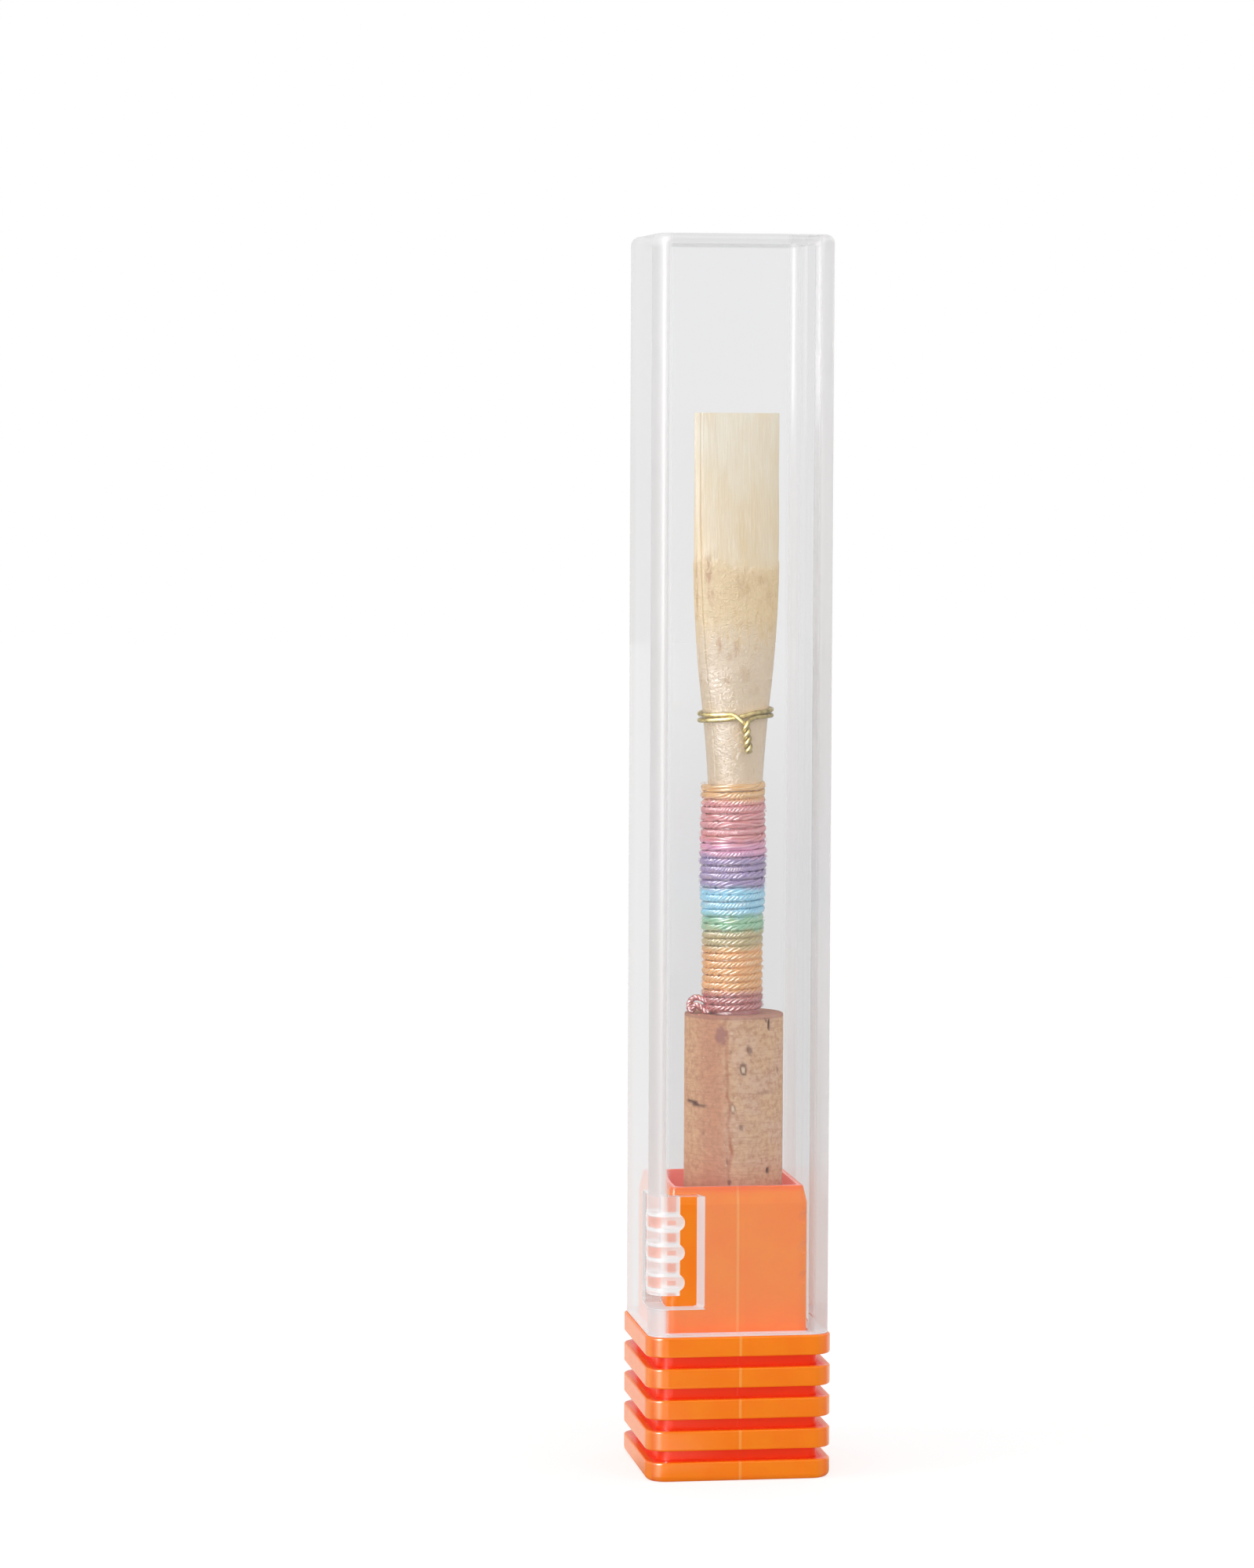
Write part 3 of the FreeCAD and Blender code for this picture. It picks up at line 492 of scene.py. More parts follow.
def cork_finish():
    """Sanded cork: warmer left of its seam, fine sanding lines round it, and pores that the mesh marks,
    with a painted highlight at the far left, a painted shadow under the thread, and painted shade and
    reflection at the foot.
    """
    finish = Finish("cork_bark")
    where = finish.reed_place()
    _, _, height = finish.split(where)
    cloud = finish.noise(where, 0.35, 3.0)
    cell = finish.noise(where, 2.6, 5.0, 0.7)
    streak = finish.streaks(where, 0.6, 8.0, 4.0, 0.65)
    fleck = finish.streaks(where, 4.2, 5.46, 2.0, 0.6)
    rays = finish.streaks(where, 2.2, 0.25, 3.0, 0.6)
    colour = finish.layers(
        CORK_GREY,
        (finish.step(cloud, 0.35, 0.65), CORK_WARM),
        (finish.attribute("left") * 0.8, CORK_PINK),
        # Lighter far left: a painted highlight
        (finish.attribute("edge") * 0.7, CORK_TAN_AND_HIGHLIGHT),
        (finish.step(rays, 0.5, 0.8) * 0.25, CORK_TAN_AND_HIGHLIGHT),
        (finish.step(cell, 0.4, 0.7) * 0.7, CORK_BROWN),
        (finish.step(streak, 0.48, 0.66) * 0.42, CORK_BROWN),
        (finish.step(fleck, 0.64, 0.72) * 0.45, CORK_PALE),
        (finish.attribute("seam") * 0.75, CORK_SEAM_AND_SHADE),
        (finish.attribute("stain"), CORK_STAIN_AND_SHADOW),
        (finish.attribute("pore"), CORK_DARK),
        (finish.attribute("bright") * 0.7, CORK_PALE),
        # A painted shadow under the thread along the top edge
        (finish.step(height, *CORK_SHADOW_TOP_MM) * 0.6, CORK_STAIN_AND_SHADOW),
        # The foot is painted darker and redder: painted shade in the socket and a painted reflection of the
        # orange boss
        ((1 - finish.step(height, *CORK_FOOT_SHADE_MM)) * 0.5, CORK_SEAM_AND_SHADE),
    )
    finish.set(
        Base_Color=colour, Roughness=0.75 + fleck * 0.15, Specular_IOR_Level=0.05,
        Normal=finish.bump(cell + streak * 0.6 + fleck * 0.5, 0.06 * MM, 0.7),
    )
    return finish.owner


LAY_PALE = behind_cover(230, 221, 203)
LAY_WARM = behind_cover(221, 199, 162)
LAY_FIBRE = behind_cover(240, 231, 213)
BARK_PALE = behind_cover(217, 198, 174)
BARK_HONEY = behind_cover(222, 198, 158)
BARK_TAN = behind_cover(208, 176, 134)
BARK_SPOT = behind_cover(176, 134, 96)
# Heights where the bark turns to honey and where its gloss ends, and how far blotches move the first
HONEY_MM = (52.0, 56.0)
GLOSS_MM = (50.2, 52.0)
HONEY_WAVER_MM = 5.0


def cane_finish():
    """Reed cane: pale and fibrous where it is scraped, honey-coloured bark below and glossy at the foot."""
    finish = Finish("reed_cane")
    where = finish.reed_place()
    _, _, height = finish.split(where)
    fibre = finish.streaks(where, 6.0, 0.16, 3.0, 0.6)
    vein = finish.streaks(where, 13.0, 0.5, 2.0, 0.5)
    broad = finish.streaks(where, 0.9, 0.2, 2.0)
    blotch = finish.streaks(where, 2.6, 0.9, 3.0, 0.65, 0.8)
    spot = finish.streaks(where, 4.0, 1.2, 2.0, 0.5)
    crease = finish.streaks(where, 1.6, 2.2, 3.0, 0.6, 1.8)
    lay = finish.attribute("lay")
    scraped = finish.layers(
        LAY_PALE,
        (finish.step(broad, 0.3, 0.7) * 0.4 + (1 - finish.attribute("tip")) * 0.55, LAY_WARM),
        (finish.step(fibre, 0.5, 0.72) * 0.4, LAY_FIBRE),
        (finish.step(vein, 0.55, 0.75) * 0.3, LAY_FIBRE),
    )
    honey = finish.step(height + (blotch - 0.5) * HONEY_WAVER_MM, *HONEY_MM)
    bark = finish.layers(
        BARK_PALE,
        (honey, BARK_HONEY),
        (finish.step(blotch, 0.5, 0.7) * (0.2 + honey * 0.35), BARK_TAN),
        (finish.step(fibre, 0.55, 0.8) * 0.3, BARK_TAN),
        (finish.step(spot, 0.64, 0.76) * 0.35, BARK_SPOT),
        (finish.attribute("stain") * finish.clamp(0.25 + finish.step(spot, 0.35, 0.6)), BARK_SPOT),
    )
    gloss = (1 - lay) * (1 - finish.step(height, *GLOSS_MM))
    finish.set(
        Base_Color=finish.mix(lay, bark, scraped), Roughness=0.6 - gloss * 0.36 + fibre * 0.05,
        Specular_IOR_Level=0.5, Normal=finish.bump(fibre + crease * (1 - lay) * 3.0, 0.05 * MM, 0.8),
        Subsurface_Weight=0.1, Subsurface_Radius=(1.0, 0.7, 0.4), Subsurface_Scale=0.5 * MM,
    )
    return finish.owner


# The thread's colours up the reed: where each begins, in millimetres above the reed's foot
THREAD_BANDS_MM = (
    (23.0, (178, 99, 100)),
    (24.8, (222, 166, 98)),
    (28.5, (182, 166, 114)),
    (29.9, (139, 190, 154)),
    (31.2, (148, 206, 228)),
    (33.4, (152, 132, 178)),
    (36.0, (212, 147, 183)),
    (37.2, (210, 136, 140)),
    (40.6, (221, 176, 114)),
)
THREAD_PALE = behind_cover(246, 226, 214)
THREAD_WARM = behind_cover(236, 196, 160)
THREAD_LOW_MM = 22.5
THREAD_HIGH_MM = 42.5
BAND_BLEND_MM = 0.3
# High, for the silky glints of nylon
THREAD_INDEX = 1.9


def thread_finish():
    """Twisted nylon thread dyed in bands of the rainbow."""
    finish = Finish("rainbow_thread")
    where = finish.reed_place()
    _, _, height = finish.split(where)
    waver = finish.noise(where, 0.9, 2.0)
    span = THREAD_HIGH_MM - THREAD_LOW_MM
    share = (height + waver - 0.5 - THREAD_LOW_MM) / span
    stops = [(0.0, behind_cover(*THREAD_BANDS_MM[0][1]))]
    for (_, below), (start, above) in zip(THREAD_BANDS_MM, THREAD_BANDS_MM[1:]):
        for edge, shade in ((start - BAND_BLEND_MM, below), (start + BAND_BLEND_MM, above)):
            stops.append(((edge - THREAD_LOW_MM) / span, behind_cover(*shade)))
    hair = finish.streaks(where, 6.0, 18.0, 3.0, 0.6)
    tone = finish.streaks(where, 0.5, 2.4, 2.0)
    colour = finish.layers(
        finish.ramp(share, stops),
        (finish.step(hair, 0.5, 0.8) * 0.35, THREAD_PALE),
        (finish.step(tone, 0.5, 0.75) * 0.25, THREAD_WARM),
    )
    finish.set(
        Base_Color=colour, Roughness=0.12 + hair * 0.1, Normal=finish.bump(hair, 0.03 * MM, 0.8),
        IOR=THREAD_INDEX, Specular_IOR_Level=1.0, Sheen_Weight=0.2,
    )
    return finish.owner


WIRE_BRIGHT = linear(184, 168, 116)
WIRE_DULL = linear(138, 121, 75)


def wire_finish():
    """Soft brass wire, a little dulled."""
    finish = Finish("brass_wire")
    where = finish.reed_place()
    dull = finish.noise(where, 2.5, 3.0)
    colour = finish.mix(finish.step(dull, 0.4, 0.7), WIRE_BRIGHT, WIRE_DULL)
    finish.set(Base_Color=colour, Roughness=0.3 + dull * 0.15, Metallic=1.0)
    return finish.owner


# Modelling


def select_points(piece, wanted):
    """In edit mode, selects the points whose place passes a test."""
    bpy.ops.object.mode_set(mode="OBJECT")
    for part in (piece.data.polygons, piece.data.edges):
        part.foreach_set("select", [False] * len(part))
    for point in piece.data.vertices:
        point.select = wanted(point.co)
    bpy.ops.object.mode_set(mode="EDIT")
    bpy.ops.mesh.select_mode(type="VERT")


def pick_alone(piece):
    bpy.ops.object.select_all(action="DESELECT")
    piece.select_set(True)
    bpy.context.view_layer.objects.active = piece


def finish_piece(piece, name, nodes, material, smooth_angle):
    """Stands a piece of the reed in the case, names it and hides the nodes that it replaces."""
    piece.name = name
    piece.data.name = name
    piece.data.transform(REED_PLACE)
    wear(piece, material)
    pick_alone(piece)
    bpy.ops.object.shade_smooth_by_angle(angle=math.radians(smooth_angle))
    piece.select_set(False)
    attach(piece, "reed")
    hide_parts(*nodes)


def store_shares(piece, shares):
    """Keeps numbers for each point of a piece, under their names, for its material to read."""
    for name, values in shares.items():
        layer = piece.data.attributes.new(name, "FLOAT", "POINT")
        layer.data.foreach_set("value", values)


def ease(low, high, value):
    """0 at low, 1 at high, smooth between them and level past them."""
    share = min(1.0, max(0.0, (value - low) / (high - low)))
    return share * share * (3 - 2 * share)


def smooth_weights(share):
    """What a smooth curve takes of its two ends and of its slopes there, a share of the way along."""
    square, cube = share**2, share**3
    return 2 * cube - 3 * square + 1, 3 * square - 2 * cube, cube - 2 * square + share, cube - square


# Cork

CORK_BORE = 1.99 * MM
CORK_EDGE = 0.1 * MM
CORK_STEPS_ROUND = 280
CORK_STEPS_UP = 250
CORK_GRAIN_MM = 0.012
TOUCHING = MM / 1000
SEAM_ANGLE = -110.0
SEAM_WAVER_MM = 0.2
SEAM_WIDTH_MM = 0.1
SEAM_DEPTH_MM = 0.035
# Where the cork turns warmer left of the seam, and where it is painted lighter at the far left as a
# highlight
LEFT_MM = (-1.0, 0.5)
FAR_LEFT_HIGHLIGHT_MM = (-3.4, -1.5)
# Pores on the cork's front: angle, height, width, length, slant, depth, how dark they are and how open,
# where 0 is a filled pore and 1 is a dark outline round bright cork. Angles and slants are in degrees,
# the other sizes in millimetres.
PORES = (
    (-59, 22.35, 0.3, 0.95, 0, 0.16, 1, 0),
    (-64, 22.75, 0.5, 0.22, -35, 0.1, 0.7, 0),
    (-85.4, 20.3, 0.5, 0.8, 25, 0.12, 0.6, 0),
    (-92.5, 18.75, 0.62, 1.05, 12, 0.12, 0.8, 1),
    (-42, 18.5, 0.22, 0.55, 0, 0.1, 0.7, 0),
    (-157, 15.8, 2.8, 0.34, -6, 0.16, 0.95, 0),
    (-105, 15.5, 0.5, 0.8, 5, 0.08, 0.5, 1),
    (-95, 14, 0.42, 0.4, 30, 0.08, 0.55, 0),
    (-59.5, 10.4, 0.36, 0.5, 0, 0.2, 1, 0),
    (-111, 11.2, 0.2, 0.7, 10, 0.06, 0.45, 0),
    (-141, 13.4, 0.35, 0.15, -30, 0.05, 0.35, 0),
    (-108.5, 9.5, 0.35, 0.4, 0, 0.08, 0.6, 0),
    (-107, 20.2, 0.3, 0.2, 20, 0.05, 0.45, 0),
    (-66, 16.8, 1.6, 0.14, 0, 0.04, 0.25, 0),
    (-57.5, 18.4, 0.18, 2.6, 3, 0.03, 0.14, 0),
)
# Nothing of a pore lies farther from its middle, across or up
PORE_REACH_MM = (3, 2)
PORE_WOBBLE = 0.35
# Where a pore's rim and its filling fade out, as shares of the way from its middle to its rim
PORE_RIM = (0.7, 1.15)
PORE_FILLING = (0.25, 0.6)
# Angle, height, width and length
STAIN = (-119.5, 21.5, 1.0, 1.35)
STAIN_DEPTH_MM = 0.03
# Wild pores begin this many radians away from the side that the photograph shows
PHOTO_SIDE = -104.0
WILD_AWAY = (1.3, 1.6)
WILD_LEVEL = (0.52, 0.62)
WILD_DEPTH_MM = 0.09


def off_angle(angle, centre):
    """How far an angle is past another, given in degrees, the short way round."""
    return (angle - math.radians(centre) + math.pi) % (2 * math.pi) - math.pi


def pore_at(angle, height):
    """How dark a pore leaves a place on the cork, how bright the cork inside it is, and its depth."""
    wobble = noise.noise(Vector((math.cos(angle) * 8, math.sin(angle) * 8, height * 2.2)))
    dark, bright, deepest = 0.0, 0.0, 0.0
    for centre, middle, width, length, slant, depth, strength, opening in PORES:
        across = off_angle(angle, centre) * CORK_RADIUS / MM
        along = height - middle
        if abs(across) > PORE_REACH_MM[0] or abs(along) > PORE_REACH_MM[1]:
            continue
        lean = math.radians(slant)
        side = across * math.cos(lean) + along * math.sin(lean)
        rise = along * math.cos(lean) - across * math.sin(lean)
        reach = math.hypot(side / (width / 2), rise / (length / 2)) + wobble * PORE_WOBBLE
        inside = 1 - ease(*PORE_RIM, reach)
        filled = 1 - ease(*PORE_FILLING, reach)
        dark = max(dark, strength * (inside - opening * filled))
        deepest = max(deepest, depth * (inside - opening * filled * 0.6))
        bright = max(bright, opening * filled * inside)
    return dark, bright, deepest


def wild_pore_at(angle, height):
    """Small pores over the rest of the cork, where a noise is lowest."""
    spot = Vector((math.cos(angle) * 3.1, math.sin(angle) * 3.1, height * 0.75))
    low = noise.noise(spot * 1.25 + Vector((4.2, 1.7, 9.3)))
    at_back = ease(*WILD_AWAY, abs(off_angle(angle, PHOTO_SIDE)))
    return ease(*WILD_LEVEL, -low) * at_back


def make_cork(material):
    """A cork tube, turned from its wall's section, then pitted like natural cork."""
    half_way = (CORK_BORE + CORK_RADIUS) / 2
    bpy.ops.mesh.primitive_plane_add(
        size=1, location=(half_way, 0, CORK_LENGTH / 2), rotation=(math.pi / 2, 0, 0)
    )
    piece = bpy.context.object
    piece.scale = (CORK_RADIUS - CORK_BORE, CORK_LENGTH, 1)
    pick_alone(piece)
    bpy.ops.object.transform_apply(location=True, rotation=True, scale=True)
    select_points(piece, lambda spot: spot.x > half_way)
    bpy.ops.mesh.bevel(affect="VERTICES", offset=CORK_EDGE, segments=4)
    select_points(piece, lambda spot: spot.x > CORK_RADIUS - TOUCHING)
    bpy.ops.mesh.subdivide(number_cuts=CORK_STEPS_UP - 1)
    bpy.ops.mesh.select_all(action="SELECT")
    bpy.ops.mesh.delete(type="ONLY_FACE")
    bpy.ops.mesh.select_all(action="SELECT")
    bpy.ops.mesh.spin(steps=CORK_STEPS_ROUND, angle=2 * math.pi, center=(0, 0, 0), axis=(0, 0, 1))
    bpy.ops.mesh.select_all(action="SELECT")
    bpy.ops.mesh.remove_doubles(threshold=TOUCHING)
    bpy.ops.mesh.normals_make_consistent(inside=False)
    bpy.ops.object.mode_set(mode="OBJECT")

    shares = {name: [] for name in ("pore", "left", "edge", "bright", "stain", "seam")}
    centre, middle, width, length = STAIN
    for point in piece.data.vertices:
        spot = point.co / MM
        radius = math.hypot(spot.x, spot.y)
        angle = math.atan2(spot.y, spot.x)
        outer = ease(CORK_BORE / MM + 0.6, CORK_RADIUS / MM - 0.1, radius)
        dark, bright, depth = pore_at(angle, spot.z)
        wild = wild_pore_at(angle, spot.z)
        waver = noise.noise(Vector((0.3, 0.8, spot.z * 0.33))) * 2 * SEAM_WAVER_MM
        waver += noise.noise(Vector((7.1, 2.2, spot.z * 1.3))) * SEAM_WAVER_MM
        broken = 0.45 + 0.9 * abs(noise.noise(Vector((3.3, 5.5, spot.z * 0.9))))
        off_seam = off_angle(angle, SEAM_ANGLE) * CORK_RADIUS / MM - waver
        seam = (1 - ease(SEAM_WIDTH_MM * 0.3, SEAM_WIDTH_MM * 2.2, abs(off_seam))) * min(1.0, broken)
        off_stain = off_angle(angle, centre) * CORK_RADIUS / MM
        reach = math.hypot(off_stain / (width / 2), (spot.z - middle) / (length / 2))
        rough = noise.noise(spot * 2.3)
        stain = 1 - ease(0.75, 1.1, reach + rough * 0.5)
        grain = (noise.noise(spot * 1.1) + noise.noise(spot * 4.5) / 2) * CORK_GRAIN_MM
        sink = max(depth, wild * WILD_DEPTH_MM, seam * SEAM_DEPTH_MM, stain * STAIN_DEPTH_MM) - grain
        shrink = 1 - sink * outer / radius
        point.co.x *= shrink
        point.co.y *= shrink
        left = 1 - ease(*LEFT_MM, off_seam + rough * 0.5)
        # Lighter at the far left of the seam: a painted highlight
        edge = 1 - ease(*FAR_LEFT_HIGHLIGHT_MM, off_seam + rough * 0.8)
        values = (max(dark, wild * 0.8), left, edge, bright, stain * 0.8, seam)
        for column, value in zip(shares.values(), values):
            column.append(value)
    store_shares(piece, shares)
    finish_piece(piece, "cork_sleeve", ["cork"], material, 60)


# Cane

# The cane's outside up the reed: height, half width, half depth and thickness, in millimetres
CANE_SECTIONS_MM = (
    (33.6, 1.95, 1.95, 0.15),
    (42.2, 2.26, 2.26, 0.56),
    (46.8, 2.63, 2.18, 0.56),
    (51.0, 3.11, 1.93, 0.56),
    (55.9, 3.47, 1.59, 0.54),
    (61.0, 3.63, 1.19, 0.42),
    (66.9, 3.61, 0.77, 0.26),
    (72.0, 3.555, 0.42, 0.12),
)
CANE_WALL_MM = CANE_SECTIONS_MM[1][3]
TIP_START_MM = 62
SEAM_SLIP = math.radians(31)
CANE_COLUMNS = 72
CANE_ROWS = 260
LAY_HEIGHT_MM = 59.4
LAY_SIDE_RISE_MM = 1.2
LAY_DEPTH_MM = 0.07
LAY_SOFT_MM = 0.8
LAY_EDGE_MM = 0.12
LAY_RUN_OUT_MM = 6
SEAM_ROUND_MM = 0.12
# The stains are placed as the photograph shows them, which is this much narrower than round the curve
STAIN_SPREAD = 0.9
CANE_GRAIN_MM = 0.012
THINNEST_MM = 0.05
# Tan stains on the bark: how far right of the blade's middle, height, width, length and strength
STAINS_MM = (
    (-2.95, 59.3, 0.5, 3.2, 0.75), (2.95, 57.9, 0.4, 4.6, 0.6), (-2.95, 57.0, 0.5, 2.4, 0.4),
    (-0.2, 58.4, 1.3, 0.8, 0.2), (0.6, 57.2, 0.6, 2.2, 0.22), (1.9, 58.0, 0.4, 1.6, 0.2),
    (-1.1, 57.9, 1.0, 2.4, 0.25), (-0.9, 54.9, 1.0, 0.7, 0.18), (0.9, 54.5, 0.8, 0.6, 0.2),
    (2.6, 55.4, 0.5, 0.9, 0.3), (-2.55, 53.2, 0.4, 1.3, 0.6), (-1.5, 52.9, 0.35, 1.5, 0.5),
    (-1.9, 52.2, 0.3, 0.9, 0.4), (-2.1, 50.4, 0.4, 0.8, 0.4), (-1.0, 50.9, 0.7, 1.4, 0.25),
    (-0.4, 49.6, 0.8, 0.9, 0.2),
)


def cane_section(height):
    """Half width, half depth and thickness of the cane at a height, on a smooth curve."""
    rows = CANE_SECTIONS_MM
    for index in range(len(rows) - 1):
        if height <= rows[index + 1][0] or index == len(rows) - 2:
            break
    before, after = rows[max(index - 1, 0)], rows[min(index + 2, len(rows) - 1)]
    low, high = rows[index], rows[index + 1]
    span = high[0] - low[0]
    share = min(1.0, max(0.0, (height - low[0]) / span))
    of_low, of_high, of_slope_low, of_slope_high = smooth_weights(share)
    sizes = []
    for column in range(1, 4):
        slope_low = (high[column] - before[column]) / (high[0] - before[0])
        slope_high = (after[column] - low[column]) / (after[0] - low[0])
        slopes = of_slope_low * slope_low + of_slope_high * slope_high
        sizes.append(of_low * low[column] + of_high * high[column] + slopes * span)
    return sizes


def make_blade(name, node, first_angle, material):
    """Half of the cane tube: a sheet bent round the reed, scraped thin above the bark."""
    foot, tip = CANE_SECTIONS_MM[0][0], CANE_SECTIONS_MM[-1][0]
    bpy.ops.mesh.primitive_grid_add(x_subdivisions=CANE_COLUMNS, y_subdivisions=CANE_ROWS, size=2)
    piece = bpy.context.object
    shares = {"lay": [], "stain": [], "tip": []}
    thicknesses = []
    for point in piece.data.vertices:
        # The columns crowd towards the seams, where the sheet is rounded
        across = point.co.x * (1.5 - 0.5 * point.co.x**2)
        height = foot + (tip - foot) * (point.co.y + 1) / 2
        angle = first_angle + SEAM_SLIP + math.pi * (across + 1) / 2
        half_width, half_depth, thickness = cane_section(height)
        spot = Vector((math.cos(angle) * half_width, math.sin(angle) * half_depth, height))
        jag = noise.noise(spot * 1.9) * 0.45
        jag += noise.noise(Vector((spot.x * 9, spot.y * 9, height * 0.6))) * 0.3
        edge = LAY_HEIGHT_MM + LAY_SIDE_RISE_MM * across**2 + jag
        lay = ease(edge - LAY_EDGE_MM, edge + LAY_EDGE_MM, height)
        facing = Vector((math.cos(angle) / half_width, math.sin(angle) / half_depth, 0)).normalized()
        quarter = math.pi / 2 * (half_width + half_depth) / 2
        rounding = max(0.0, SEAM_ROUND_MM - (1 - abs(across)) * quarter)
        sink = LAY_DEPTH_MM * lay * ease(tip, tip - LAY_RUN_OUT_MM, height)
        sink += rounding**2 / (2 * SEAM_ROUND_MM)
        sink -= noise.noise(Vector((spot.x * 3, spot.y * 3, height * 0.15))) * CANE_GRAIN_MM
        point.co = (spot - facing * sink) * MM
        thicknesses.append(max(THINNEST_MM, thickness - sink) / CANE_WALL_MM)
        shares["lay"].append(ease(edge - LAY_SOFT_MM, edge + LAY_SOFT_MM, height))
        shares["stain"].append(stain_at(across * quarter * STAIN_SPREAD, height, jag))
        shares["tip"].append(ease(TIP_START_MM, tip, height))
    store_shares(piece, shares)
    inner_skin(piece, thicknesses)
    finish_piece(piece, name, [node], material, 50)


def stain_at(across, height, jag):
    """How tan the bark is, where it keeps the marks of the plant's outside."""
    strongest = 0.0
    for side, middle, width, length, strength in STAINS_MM:
        reach = math.hypot((across - side) / (width / 2), (height - middle) / (length / 2)) + jag * 0.6
        strongest = max(strongest, strength * (1 - ease(0.5, 1.3, reach)))
    return strongest


def inner_skin(piece, shares):
    """Gives a blade its thickness, inwards, as a share of the full thickness at each point."""
    group = piece.vertex_groups.new(name="thickness")
    for index, share in enumerate(shares):
        group.add([index], min(1.0, share), "REPLACE")
    pick_alone(piece)
    skin = piece.modifiers.new("skin", "SOLIDIFY")
    skin.thickness = CANE_WALL_MM * MM
    skin.offset = -1
    skin.vertex_group = "thickness"
    bpy.ops.object.modifier_apply(modifier=skin.name)


# Thread

THREAD_PITCH_MM = 0.6
WINDING_START = math.radians(80)
WINDING_OFF_MM = -0.16
# How far turns stray outwards and upwards
STRAY_OUT_MM = 0.06
STRAY_UP_MM = 0.05
# The winding's outer radius up the reed
WINDING_MM = (
    (23.0, 2.53), (24.5, 2.52), (28.6, 2.5), (31.8, 2.61), (33.6, 2.71),
    (36.4, 2.75), (40.6, 2.65), (42.2, 2.68),
)
PLY_COUNT = 3
PLY_RADIUS_MM = 0.15
PLY_OUT_MM = 0.09
PLY_UP_MM = 0.16
PLY_TWIST_MM = 1.4
POINTS_PER_TURN = 96
# Stray fibres on the winding
HAIR_COUNT = 1100
HAIR_RADIUS_MM = 0.011
HAIR_LENGTH_MM = (0.4, 1.1)
HAIR_LIFT_MM = (0.01, 0.12)
HAIR_RISE_MM = 0.25
HAIR_ROOT_MM = 0.1
HAIR_MARGIN_MM = 0.3
HAIR_ARCH = 2.2
HAIR_STEPS = 5


def between(rows, height):
    """A value between the rows of a table of heights and values."""
    for (low, first), (high, second) in zip(rows, rows[1:]):
        if height <= high:
            return first + (second - first) * max(0.0, (height - low) / (high - low))
    return rows[-1][1]


def strand_curve(name, strands, radius, ring_steps=1, kind="POLY"):
    """Round strands through lists of points, as one mesh, in metres from the reed's foot."""
    curve = bpy.data.curves.new(name, "CURVE")
    curve.dimensions = "3D"
    curve.bevel_depth = radius
    curve.bevel_resolution = ring_steps
    curve.use_fill_caps = True
    for points in strands:
        spline = curve.splines.new(kind)
        spline.points.add(len(points) - 1)
        for place, spot in zip(spline.points, points):
            place.co = (*(spot * MM), 1)
        if kind == "NURBS":
            spline.order_u = 4
            spline.use_endpoint_u = True
            spline.resolution_u = 4
    piece = bpy.data.objects.new(name, curve)
    bpy.context.scene.collection.objects.link(piece)
    pick_alone(piece)
    bpy.ops.object.convert(target="MESH")
    return bpy.context.object


def make_winding(material):
    """Three plies twisted into one thread, wound from the cork up to the throat."""
    half_thread = PLY_UP_MM + PLY_RADIUS_MM
    low = CORK_LENGTH / MM + half_thread
    high = WINDING_MM[-1][0] - half_thread
    turns = (high - low) / THREAD_PITCH_MM
    steps = int(turns * POINTS_PER_TURN)
    plies = [[] for _ in range(PLY_COUNT)]
    for index in range(steps + 1):
        turn = turns * index / steps
        angle = WINDING_START + 2 * math.pi * turn
        height = low + THREAD_PITCH_MM * turn
        waver = noise.noise(Vector((turn * 1.7, 0.4, 0.9)))
        outer = between(WINDING_MM, height) - PLY_OUT_MM - PLY_RADIUS_MM + waver * STRAY_OUT_MM
        twist = angle * outer / PLY_TWIST_MM * 2 * math.pi
        for ply, points in enumerate(plies):
            phase = twist + 2 * math.pi * ply / PLY_COUNT
            radius = outer + PLY_OUT_MM * math.cos(phase)
            rise = PLY_UP_MM * math.sin(phase) + waver * STRAY_UP_MM
            across, along = radius * math.cos(angle) + WINDING_OFF_MM, radius * math.sin(angle)
            points.append(Vector((across, along, height + rise)))
    piece = strand_curve("thread_plies", plies, PLY_RADIUS_MM * MM)
    hairs = strand_curve("thread_hairs", hair_strands(), HAIR_RADIUS_MM * MM, 0)
    pick_alone(piece)
    hairs.select_set(True)
    bpy.ops.object.join()
    finish_piece(piece, "wound_thread", ["thread_winding"], material, 80)


def hair_strands():
    """Short stray fibres that stand off the winding."""
    draw = random.Random(11)
    low, high = WINDING_MM[0][0] + HAIR_MARGIN_MM, WINDING_MM[-1][0] - HAIR_MARGIN_MM
    strands = []
    for _ in range(HAIR_COUNT):
        angle, height = draw.uniform(0, 2 * math.pi), draw.uniform(low, high)
        length, lift = draw.uniform(*HAIR_LENGTH_MM), draw.uniform(*HAIR_LIFT_MM)
        rise, way = draw.uniform(-HAIR_RISE_MM, HAIR_RISE_MM), draw.choice((-1, 1))
        root = between(WINDING_MM, height) - HAIR_ROOT_MM
        points = []
        for step in range(HAIR_STEPS + 1):
            share = step / HAIR_STEPS
            radius = root + (lift + HAIR_ROOT_MM) * math.sin(share * HAIR_ARCH)
            turned = angle + way * length * share / root
            across, along = radius * math.cos(turned) + WINDING_OFF_MM, radius * math.sin(turned)
            points.append(Vector((across, along, height + rise * share)))
        strands.append(points)
    return strands


